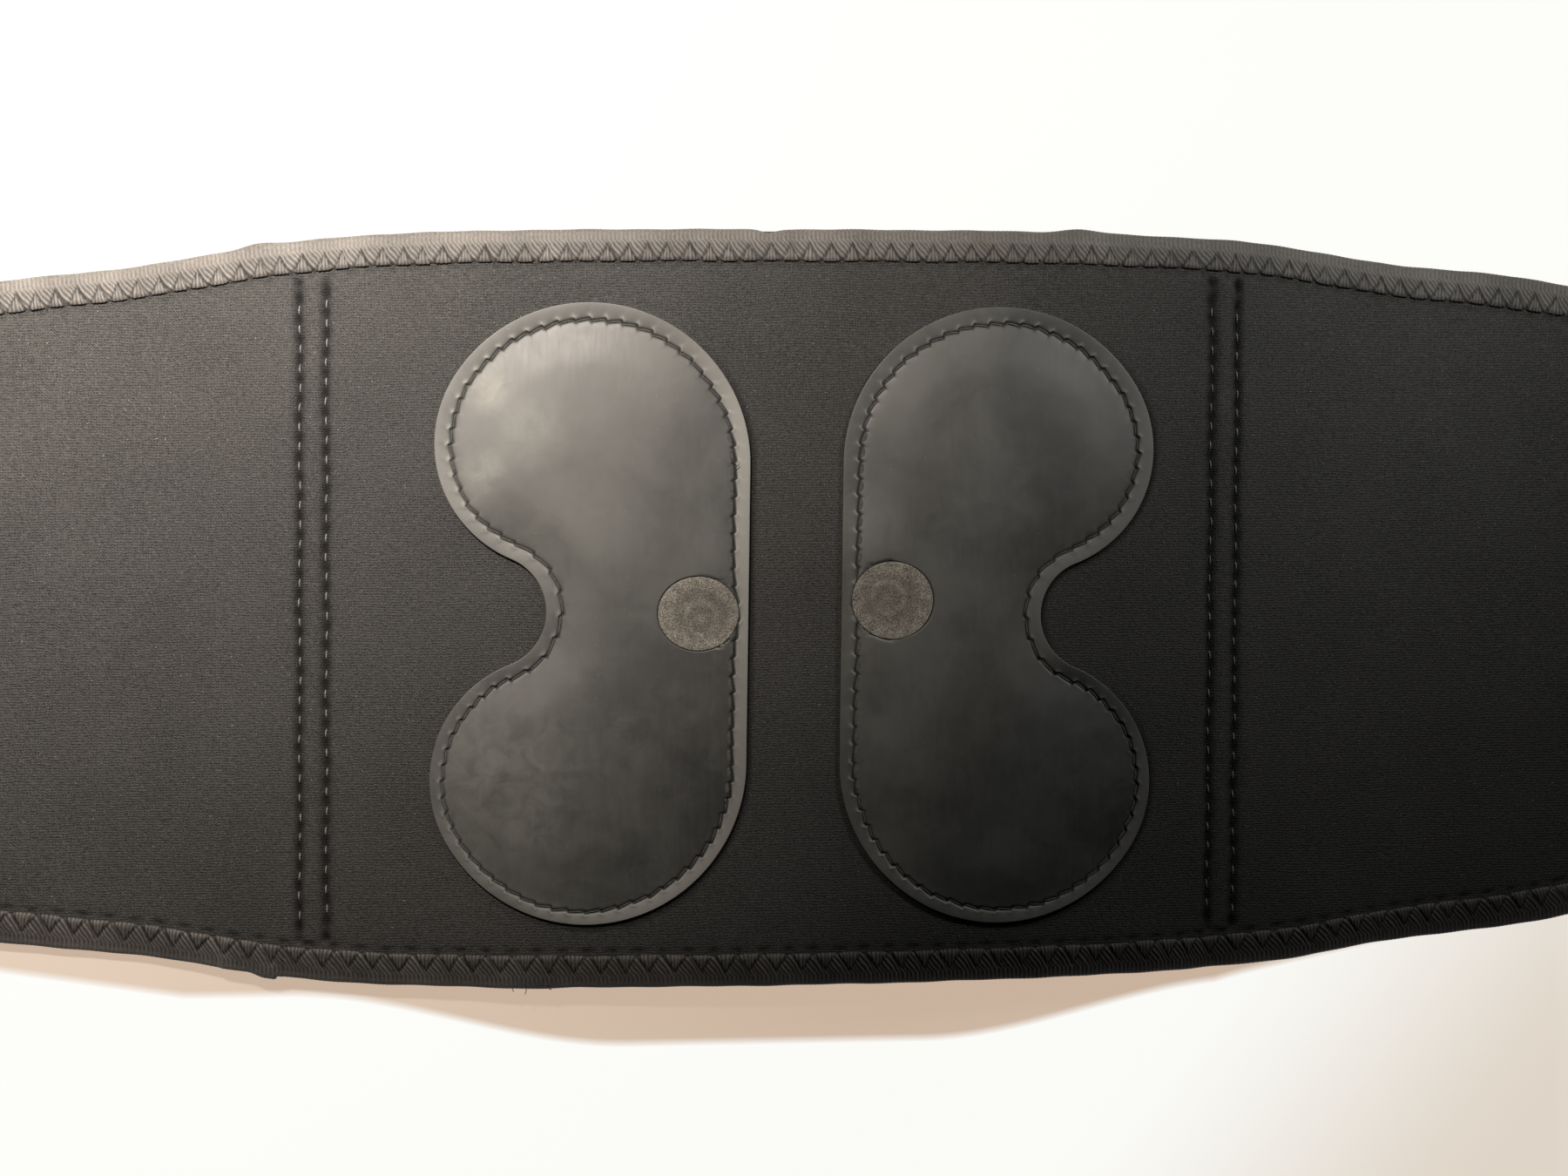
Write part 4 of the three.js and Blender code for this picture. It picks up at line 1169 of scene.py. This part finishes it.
def pad_ground(side, x, y, z, d):
    """Slow unevenness of the rubber, its low dome, and its flush fit round the cover disc; also the
    painted shade in the gap round the disc.
    """
    wave = 0.075 * np.sin(x / 8.7 + 0.6) * np.sin(y / 11.3 + x / 37)
    wave = wave + 0.03 * np.sin(y / 5.1 + x / 6.3)
    middle = -46.0 if side == "left" else 57.0
    dome = 0.8 * np.clip(1 - ((x - middle) / 38) ** 2, 0, 1) * smooth((d - 4) / 12)
    z = z + wave * smooth((d - 4) / 5) + dome
    if side == "left":
        z = z - 0.07 * bell((x + 40.0) / 1.0) * bell((y - 12) / 16)
    mx, my = DISC_MID[side]
    r = disc_reach(side, x, y)
    far = np.maximum(r, COVER_R) / COVER_R
    rim = disc_height(side, mx + (x - mx) / far, my + (y - my) / far)
    near = (1 - smooth((r - 10.3) / 21)) * (1 - 0.55 * smooth((SEAM_INSET + 0.6 - d) / 3.6))
    seam = np.minimum(z + 0.08, 0) * smooth((r - COVER_R) / 0.8)
    z = np.where(near > 0, z * (1 - near) + (rim + 0.9 * seam) * near, z)
    well = smooth((COVER_R + DISC_GAP - r) / (DISC_GAP - 0.05))
    return z * (1 - well) - 0.02 * well, well * (r > COVER_R - 0.3)


def inside_ring(places, ring, margin):
    """Which places lie inside a closed ring, further than a margin from its points."""
    (ax, ay), (bx, by) = ring.T, np.roll(ring, -1, 0).T
    x, y = places[:, :1], places[:, 1:]
    crosses = (ay > y) != (by > y)
    cut = (bx - ax) * (y - ay) / np.where(by == ay, 1e-9, by - ay) + ax
    return (np.sum(crosses & (x < cut), 1) % 2 == 1) & (nearest(places, ring)[1] > margin)


def pad_inside(side, ring):
    """Points of the pad's face inside its rings: a grid, and circles round the cover disc."""
    mid = np.array([SNAP_INSET - DISC_SHIFT[side], SNAP[side][1] - PAD_MID_Y])
    form = np.array(DISC_SCALE[side])
    u, v = np.meshgrid(np.arange(0, PAD_W, PAD_GRID), np.arange(-PAD_H / 2, PAD_H / 2, PAD_GRID),
                       indexing="ij")
    grid = np.column_stack([(u + 0.67 * (np.round(v / PAD_GRID) % 2)).ravel(), v.ravel()])
    r = np.hypot(*((grid - mid) / form).T)
    grid = grid[inside_ring(grid, ring, 0.7) & (np.abs(r - 10.1) > 1.0)]
    a = np.linspace(0, 2 * PI, 97)[:-1]
    circles = np.vstack([mid + (COVER_R + off) * form * np.column_stack([np.cos(a), np.sin(a)])
                         for off in (-0.5, -0.02, 0.06, DISC_GAP, 0.4, 1.1)])
    return np.vstack([grid, circles[inside_ring(circles, ring, 0.12)]])


def build_pad(side):
    """An electrode: rings that follow its edge and its seam, and a net of triangles inside them."""
    base, ways, run, total = pad_outline(0.0, 0.5)
    plain = seam_waver(side, run, total, base)
    waver = plain + seam_slant(run, total)
    # painted highlight on the rim, strongest where the edge faces right and down, more on the left
    # pad
    facing = ways[:, 0] * (-0.9 if side == "left" else 0.9) - 0.45 * ways[:, 1]
    rim = smooth((facing + 0.1) / 1.0) * (1.0 if side == "left" else 0.45)
    follow = smooth(RIM_D / 2.5) * (1 - smooth((RIM_D - 5.3) / 2.9))
    depths = RIM_D[:, None] + follow[:, None] * waver
    rings = base - ways * depths[..., None]
    last = base - ways * RIM_D[-1]
    inside = pad_inside(side, last)
    near, gap = nearest(inside, base)
    m, n = depths.shape

    def spread(values):
        return np.concatenate([np.tile(values, m), values[near]])

    xy = pad_frame(side, np.vstack([rings.reshape(-1, 2), inside]))
    d = np.concatenate([depths.ravel(), gap])
    z, mark = pad_height(d, spread(run), total, spread(waver), spread(rim))
    z, well = pad_ground(side, *xy.T, z, d)
    verts = np.vstack([laid(*xy.T, Z_SKIN + np.maximum(PAD_T + z, 0.12)), laid(*xy.T, Z_SKIN)])
    count = len(xy)
    quads, e = ring_quads(m, n), np.arange(n)
    wall = np.stack([e, (e + 1) % n, (e + 1) % n + count, e + count], -1)
    if np.sum(turning(quads, xy)) < 0:
        quads = quads[:, ::-1]
    else:
        wall = wall[:, ::-1]
    faces = [quads, facing_up(fill(last, inside, (m - 1) * n, m * n), xy)]
    faces = faces + [f + count for f in flip(faces)] + [wall]
    # painted shade in the seam, the holes and the gap round the disc; below zero a painted
    # highlight
    tone = np.concatenate([np.where(well > 0, np.maximum(mark, well), mark), np.zeros(count)])
    obj = make(f"electrode_pad_{side}", verts, faces, RUBBER, None, tone)
    place(obj, "lumbar", "electrode", f"electrode_{side}")
    pad_stitches(side, base, ways, run, total, plain)


def pad_stitches(side, base, ways, run, total, plain):
    """Lockstitches in the seam, thicker along the straight edge, none under the disc."""
    count = round(total / PAD_PITCH)
    pitch = total / count
    k, t = np.arange(count)[:, None], np.linspace(-1, 1, 9)
    at = np.mod((k + 0.5) * pitch + t * pitch * 0.46, total)

    def along(values):
        return np.interp(at, np.append(run, total), np.append(values, values[0]))

    u, v, way_u, way_v = (along(values) for values in (*base.T, *ways.T))
    broad = smooth((66 - np.abs(v)) / 8) * (way_u < -0.97)
    slant = SLANT * 0.46 * t * (0.5 + hash01(k + 11))
    d = SEAM_INSET + (along(plain) + slant) + 0.02 + 0.72 * broad
    x, y = np.moveaxis(pad_frame(side, np.stack([u - way_u * d, v - way_v * d], -1)), -1, 0)
    z, _ = pad_height(SEAM_INSET + 0.45, 0.5 * pitch, total, 0.0)
    z, _ = pad_ground(side, x, y, z, d)
    lie = 0.10 * broad + (-0.12 - 0.42 * np.abs(t) ** 4) + 0.10 * (hash01(k + 9) - 0.5)
    pts = laid(x, y, Z_PAD + z + lie)
    thick = np.array([0.09, 0.16, 0.21, 0.23, 0.24, 0.23, 0.21, 0.16, 0.09]) * (1 + 1.7 * broad)
    rests = np.stack([at * 1.9, d, 0 * at], -1)
    shown = ~(disc_reach(side, x, y) < COVER_R + 0.6).any(1)
    threads(f"electrode_stitches_{side}", "lumbar", THREAD_PAD, pts[shown], thick[shown], 8,
            rests[shown], squash=(0.9 - 0.45 * broad[shown])[..., None, None])


for side in PADS:
    build_pad(side)


# ---- cover discs

def curls(x, y, heading, bend, length, steps=5):
    """Paths of curled fibres from their starts."""
    x, y, heading, bend, length = (a[:, None] for a in (x, y, heading, bend, length))
    ang = heading + bend * np.linspace(0, 1, steps)
    run_x, run_y = np.cumsum(np.cos(ang), 1) / steps, np.cumsum(np.sin(ang), 1) / steps
    return x + length * run_x, y + length * run_y


def build_disc(side):
    """A felt disc with a thin cut edge, over the eyelet."""
    (mx, my), (kx, ky) = DISC_MID[side], DISC_SCALE[side]
    rim = COVER_R - np.array([0.42, 0.25, 0.12, 0.04, 0.0])
    r, a = np.meshgrid(np.concatenate([[0.0001], np.arange(0.40, COVER_R - 0.5, 0.36), rim]),
                       np.linspace(0, 2 * PI, 145)[:-1], indexing="ij")
    x, y = kx * r * np.cos(a), ky * r * np.sin(a)
    edge = -0.22 * np.clip((r - (COVER_R - 0.30)) / 0.30, 0, 1) ** 2
    uneven = 0.035 * np.sin(x / 1.3 + 1) * np.sin(y / 1.6)
    uneven = uneven + 0.03 * np.sin(x / 0.6) * np.sin(y / 0.7 + x)
    face = disc_height(side, mx + x, my + y)
    top = Z_PAD + face + edge + np.abs(uneven)
    low = Z_PAD + np.where(r < EYELET_R + 0.4, Z_EYELET - Z_PAD + 0.04, 0.06)
    low = np.minimum(low, top - 0.04)
    verts = np.stack([np.stack([mx + x, my + y, top], -1),
                      np.stack([mx + x * 0.995, my + y * 0.995, low], -1)]).reshape(-1, 3)
    n, m = r.shape
    count = n * m
    hub, e = np.arange(m)[None, :], np.arange(m) + count - m
    f = np.roll(e, -1)
    quads = ring_quads(n, m)[:, [0, 3, 2, 1]]
    faces = [quads, quads[:, ::-1] + count, np.stack([e, e + count, f + count, f], -1),
             hub, hub[:, ::-1] + count]
    # painted shade along the cut edge; the under side is all dark
    tone = np.concatenate([np.clip((r.ravel() - COVER_R + 0.16) / 0.14, 0, 1), np.ones(count)])
    rest = np.stack([x + (0 if side == "left" else 40), y, face - DISC_SEAT], -1).reshape(-1, 3)
    obj = make(f"cover_disc_{side}", verts, faces, FELT, np.vstack([rest, rest]), tone)
    place(obj, "lumbar", "cover", f"snap_cover_{side}")

    # loose fibres of the felt
    k = 1500
    r0 = (COVER_R - 0.5) * np.sqrt(rng.random(k))
    a0 = 2 * PI * rng.random(k)
    heading = 2 * PI * rng.random(k)
    bend = (rng.random(k) - 0.5) * 2.2
    length = 0.3 + 0.5 * rng.random(k)
    x, y = curls(r0 * np.cos(a0), r0 * np.sin(a0), heading, bend, length)
    scale = np.minimum(1, (COVER_R - 0.28) / np.maximum(np.hypot(x, y), 1e-6))
    x, y = x * scale * kx, y * scale * ky
    up = 0.07 * rng.random(k)[:, None] * np.sin(PI * np.linspace(0, 1, 5))
    z = Z_PAD + disc_height(side, mx + x, my + y) + 0.05 + up
    rests = np.stack([x * 0.4 + 60 * rng.random(k)[:, None], y * 0.4, 0 * x], -1)
    threads(f"cover_fibres_{side}", "lumbar", FELT_FIBRE, np.stack([mx + x, my + y, z], -1),
            [0.018, 0.028, 0.030, 0.028, 0.018], 3, rests, "cover")


for side in PADS:
    build_disc(side)


# ---- outer face: stay channels

CHANNEL_T = 0.6


def channel(side):
    """A tape over the stay, sewn down all round."""
    lo, hi = box_mm(f"stay_channel_{side}")
    cx, (wide, long), crown = (lo[0] + hi[0]) / 2, (hi - lo)[:2] / 2, lo[2]
    lip_z, sewn = Z_OUTER - CHANNEL_T, wide - 0.9
    steps = np.array([0, 0.25, 0.6, 1.2, 2.0, 3.0, 4.0])
    middle = np.arange(-long + 5.2, long - 5.0, 1.3)
    y = np.concatenate([-long + steps, middle, long - steps[::-1]])[:, None]
    u = (wide * np.linspace(-1, 1, 41))[None, :]
    rise = smooth((long - 0.7 - np.abs(y)) / 3.2) * smooth((wide - 1.3 - np.abs(u)) / 1.3)
    row = bell((np.abs(u) - sewn) / 0.35) * (0.10 + 0.08 * np.cos(2 * PI * y / STAY_PITCH))
    weave = 0.025 * np.sin(y / 0.9) * np.cos(u / 0.35)
    x, y = cx + u + 0 * y, y + 0 * u
    low = np.stack([x, y, lip_z - (lip_z - crown) * rise + row + weave], -1)
    top = np.stack([x, y, Z_OUTER - 0.02 - (lip_z - crown - 0.05) * rise], -1)
    verts, faces = slab(low, top)
    obj = make(f"channel_tape_{side}", verts, flip(faces), CHANNEL)
    place(obj, "lumbar", "tape", f"stay_channel_{side}")

    # stitches along both sides, and nine across each end
    t = np.linspace(-1, 1, 5)
    k = np.arange(math.ceil((-long + 3) / STAY_PITCH), math.floor((long - 3) / STAY_PITCH))
    y = (k[:, None] + 0.5) * STAY_PITCH + 1.7 * t
    z = lip_z - 0.05 + 0.22 * np.abs(t) ** 3 + 0 * y
    paths = [np.stack([cx + s * sewn + 0 * y, y, z], -1) for s in (-1, 1)]
    for end in (-1, 1):
        for q in np.linspace(-1, 1, 9):
            x, y = cx + q * (wide - 1.2) + 0 * t, end * (long - 1.3) + 0.9 * t
            paths.append(np.stack([x, y, lip_z - 0.06 + 0 * t], -1)[None])
    verts, faces = tubes(np.vstack(paths), [0.12, 0.19, 0.2, 0.19, 0.12])
    obj = make(f"channel_stitches_{side}", verts, faces, THREAD, rest=verts[:, [1, 0, 2]])
    place(obj, "lumbar", "nylon")


for side in PADS:
    channel(side)


# ---- hook patch

# the patch is sewn down into the lining; its base is this thick over that
HOOK_SINK, HOOK_T, HOOK_ROUND, HOOK_PITCH = 0.19, 0.55, 8.0, 1.9
Z_HOOK = Z_SKIN - HOOK_SINK
# one hook: out to its side and up
HOOK_FORM = np.array([[0.0, -0.05], [0.02, 0.45], [0.16, 0.82],
                      [0.42, 0.93], [0.62, 0.78], [0.66, 0.56]])


def rounded_rect(hx, hy, r, n):
    arcs = []
    for q, (x, y) in enumerate(((1, 1), (-1, 1), (-1, -1), (1, -1))):
        a = np.linspace(0, PI / 2, n) + q * PI / 2
        arcs.append(np.column_stack([x * (hx - r) + r * np.cos(a), y * (hy - r) + r * np.sin(a)]))
    return np.vstack(arcs)


def hook_patch():
    """Base, hooks in staggered rows that face each way by turns, and the stitches round them."""
    lo, hi = box_mm("left_hook_patch")
    mid, (hx, hy) = (lo + hi)[:2] / 2, (hi - lo)[:2] / 2
    cx, cy = mid

    def field(margin, step_x, step_y, corner_reach, stagger=0.0):
        """Places in rows inside the patch's rounded outline."""
        x, y = np.meshgrid(np.arange(-hx + margin, hx - margin + 0.1, step_x),
                           np.arange(-hy + margin, hy - margin + 0.1, step_y), indexing="ij")
        x, y = x.ravel(), y.ravel()
        places = np.column_stack([x, y + stagger * (np.round(x / step_x) % 2)])
        corner = np.maximum(np.abs(places) - (hx - HOOK_ROUND, hy - HOOK_ROUND), 0)
        return places[np.hypot(*corner.T) < corner_reach]

    rings = []
    for inset, up in ((0.0, 0.02), (0.0, 0.30), (0.12, 0.45), (0.4, HOOK_T), (1.6, HOOK_T),
                      (2.0, HOOK_T - 0.16), (2.4, HOOK_T), (4.0, HOOK_T)):
        ring = mid + rounded_rect(hx - inset, hy - inset, HOOK_ROUND - inset, 12)
        rings.append(laid(*ring.T, Z_HOOK + up))
    n, m = len(ring), len(rings)
    inside = field(5.5, 3.0, 3.0, 3.2)
    verts = np.vstack(rings + [laid(*(mid + inside).T, Z_HOOK + HOOK_T)])
    tris = facing_up(fill(ring - mid, inside, (m - 1) * n, m * n), verts)
    obj = make("hook_base", verts, [ring_quads(m, n), tris, np.arange(n)[::-1][None, :]], HOOK)
    place(obj, "left_front", "hook", "left_hook_patch")

    x, y = field(3.2, HOOK_PITCH, 2.1, 5.0, 0.5).T[..., None]
    out, up = HOOK_FORM.T
    way = np.where(np.round(x / HOOK_PITCH) % 2 == 0, 1.0, -1.0)
    fx = cx + x + way * out
    fy = cy + y + 0.06 * (hash01(x * 3 + y) - 0.5) * up
    fz = Z_HOOK + HOOK_T + up * (0.93 + 0.12 * hash01(x + 7 * y))
    threads("hook_field", "left_front", HOOK, laid(fx, fy, fz),
            [0.13, 0.11, 0.10, 0.10, 0.09, 0.06], 4, slot="hook")

    ring = rounded_rect(hx - 2.0, hy - 2.0, HOOK_ROUND - 2.0, 30)
    ring = np.vstack([ring, ring[:1]])
    run = run_along(ring)
    count, t = int(run[-1] / 3.2), np.linspace(-1, 1, 5)
    at = np.mod((np.arange(count)[:, None] + 0.5) * run[-1] / count + 1.05 * t, run[-1])
    x, y = cx + np.interp(at, run, ring[:, 0]), cy + np.interp(at, run, ring[:, 1])
    z = Z_HOOK + HOOK_T - 0.10 + 0.12 * (1 - np.abs(t) ** 3)
    threads("hook_stitches", "left_front", THREAD, laid(x, y, z),
            [0.12, 0.18, 0.19, 0.18, 0.12], 6, np.stack([at, 0 * at, 0 * at], -1))


hook_patch()


# ---- lint, loose thread ends

def fibres(name, segment, x0, x1, count, seed):
    """Lint on the lining between x0 and x1, none of it on the pads."""
    draw = np.random.default_rng(seed)
    x = x0 + (x1 - x0) * draw.random(count)
    y = (2 * draw.random(count) - 1) * (half_height(x) - 11)
    heading, bend = 2 * PI * draw.random(count), 3.0 * (draw.random(count) - 0.5)
    length = 0.35 + 1.2 * draw.random(count) ** 3
    x, y = curls(x, y, heading, bend, length)
    for side in PADS:
        clear = ~near_pad(side, x.min(1), x.max(1), y.min(1), y.max(1), 1)
        x, y = x[clear], y[clear]
    z = Z_SKIN + skin(x, y)[0] + 0.06 + 0.10 * np.sin(PI * np.linspace(0, 1, 5))
    threads(name, segment, LINT, laid(x, y, z), [0.03, 0.05, 0.055, 0.05, 0.03], 3, slot="lining")


fibres("lint_lumbar", "lumbar", -105, 105, 240, 5)
fibres("lint_left_side", "left_side", -212, -135, 90, 6)
fibres("lint_right_side", "right_side", 135, 212, 110, 7)


def strands(name, *spec):
    """Loose thread ends: start, heading, length, curl, rise."""
    x, y, z, heading, length, curl, rise = np.array(spec, float).T
    px, py = curls(x, y, np.radians(heading), curl, length, 9)
    up = rise[:, None] * np.sin(PI * np.linspace(0, 1, 9) * 0.9)
    threads(name, "lumbar", THREAD, np.stack([px, py, (z + lift(x, y))[:, None] + up], -1),
            np.linspace(0.13, 0.09, 9), 5)


EDGE_Y = -float(half_height(-63))
strands("thread_end_pad", (-9.4, 35.6, Z_PAD + 0.25, 95, 3.2, 0.9, 0.5),
        (-9.6, 35.0, Z_PAD + 0.2, 60, 1.6, -0.8, 0.3))
strands("thread_ends_edge", (-66.0, EDGE_Y + 0.6, 4.5, 250, 2.4, 0.6, 0.1),
        (-63.0, EDGE_Y + 0.5, 4.4, 285, 3.0, -0.7, 0.2),
        (-58.5, EDGE_Y + 0.3, 4.5, 300, 2.6, 0.8, 0.1), (-126.0, -90.5, 4.0, 262, 2.2, 0.6, 0.0))


# ---- finish of the CAD nodes that show

BARE = {"snap_stud": NICKEL, "snap_eyelet": NICKEL, "stay_cap": NYLON,
        "stay_left": SPRING, "stay_right": SPRING}
for node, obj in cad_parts.items():
    for start, material in BARE.items():
        if node.startswith(start):
            obj.data.materials.clear()
            obj.data.materials.append(material)


# ---- floor, light, camera

scene = bpy.context.scene


def add_plane(name, size, location):
    s = size / 2
    mesh = bpy.data.meshes.new(name)
    mesh.from_pydata([(-s, -s, 0), (s, -s, 0), (s, s, 0), (-s, s, 0)], [], [(0, 1, 2, 3)])
    obj = bpy.data.objects.new(name, mesh)
    obj.location = location
    scene.collection.objects.link(obj)
    return obj


def floor_material():
    """Bright paper. It shines evenly, and a warm painted shadow lies along the belt's lower edge.
    """
    sh = Shade("floor_pale")
    coords = sh.node("ShaderNodeTexCoord").outputs["Object"]
    x, y, _ = sh.split(coords)
    grain = sh.noise(coords, 60.0, 3.0)
    paper = sh.mix(sh.ramp(grain, 0.3, 0.7), (0.90, 0.87, 0.81), (0.93, 0.90, 0.85))
    sh.finish(paper, 0.9)
    # how far down the painted shadow reaches, and where the plain paper begins
    soft = {"interpolation_type": "SMOOTHSTEP"}
    aside_x = sh.math("ABSOLUTE", x)
    bulge = sh.ramp(aside_x, 0.038, 0.124, -0.1123, -0.0980, **soft)
    sides = sh.plus(sh.ramp(x, 0.115, 0.20, 0.0, 0.018), sh.ramp(x, -0.20, -0.15, 0.008, 0.0))
    beyond = sh.ramp(sh.math("SUBTRACT", sh.plus(bulge, sides), y), -0.0016, 0.0006)
    above = sh.ramp(y, -0.06, -0.02)
    aside = sh.ramp(aside_x, 0.205, 0.255)
    bright = sh.math("MAXIMUM", sh.math("MAXIMUM", beyond, above), aside)
    # a little painted shade on the lower right corner
    corner = sh.ramp(sh.times(y, -0.8, x), 0.185, 0.315, **soft)
    inside = sh.times(sh.math("SUBTRACT", 1.0, aside), sh.ramp(y, -0.210, -0.150))
    corner = sh.times(sh.times(corner, inside), sh.math("SUBTRACT", 1.0, above))
    lit = sh.mix(corner, (1.0, 1.0, 0.97), (0.76, 0.68, 0.59))
    # the painted shadow's warm colour, wherever the paper is not plain bright
    glow_color = sh.mix(bright, (0.78, 0.60, 0.46), lit)
    glow = sh.node("ShaderNodeEmission", {"Color": glow_color, "Strength": 1.0}).outputs[0]
    path = sh.node("ShaderNodeLightPath").outputs
    mirrored = sh.math("MAXIMUM", path["Is Glossy Ray"], path["Is Transmission Ray"])
    seen = sh.math("MAXIMUM", path["Is Camera Ray"], mirrored)
    share = sh.times(seen, sh.ramp(bright, 0.0, 1.0, 0.74, 0.96))
    both = sh.node("ShaderNodeMixShader", {0: share, 1: sh.surface.outputs[0], 2: glow}).outputs[0]
    socket_set(sh.nodes["Material Output"].inputs[0], both)
    return sh.material


floor = add_plane("floor", 6.0, (0, 0, -0.0002))
floor.data.materials.append(floor_material())

world = bpy.data.worlds.new("studio")
scene.world = world
world.use_nodes = True
background = world.node_tree.nodes["Background"].inputs
background["Color"].default_value = (0.94, 0.98, 1.0, 1.0)
background["Strength"].default_value = 0.012


def area_light(name, at, size, power, color, target, spread=180):
    """A round soft box; a narrower spread than 180 degrees is its grid."""
    data = bpy.data.lights.new(name, "AREA")
    data.shape = "DISK"
    data.size = size
    data.energy = power
    data.color = color
    data.spread = math.radians(spread)
    lamp = bpy.data.objects.new(name, data)
    lamp.location = at
    lamp.rotation_euler = (Vector(target) - Vector(at)).to_track_quat("-Z", "Y").to_euler()
    scene.collection.objects.link(lamp)


area_light("key", (-0.146, 0.255, 0.345), 0.05, 4.25, (1.0, 0.90, 0.80), (-0.265, 0.264, 0), 121)
area_light("fill", (0.190, 0.156, 0.148), 0.06, 0.215, (1.0, 0.98, 0.93), (0.06, 0.01, 0))

# the camera looks straight down, a little from the left and a little turned
VIEW_WIDTH, AIM = 0.398, Vector((0.00286, 0.00484, Z_SKIN * MM))
TILT, ROLL = math.radians(2.3), math.radians(-0.4)
scene.view_settings.view_transform = "Standard"
camera_data = bpy.data.cameras.new("camera")
camera_data.sensor_width = 36.0
camera_data.lens = 34.0
camera_data.clip_start = 0.01
camera_data.clip_end = 20.0
camera = bpy.data.objects.new("camera", camera_data)
scene.collection.objects.link(camera)
scene.camera = camera
back = Vector((-math.sin(TILT), 0, math.cos(TILT)))
camera.location = AIM + back * VIEW_WIDTH * camera_data.lens / camera_data.sensor_width
right = Vector((0, 1, 0)).cross(back).normalized()
up = back.cross(right)
cos_roll, sin_roll = math.cos(ROLL), math.sin(ROLL)
right, up = right * cos_roll + up * sin_roll, up * cos_roll - right * sin_roll
camera.rotation_euler = Matrix((right, up, back)).transposed().to_euler()
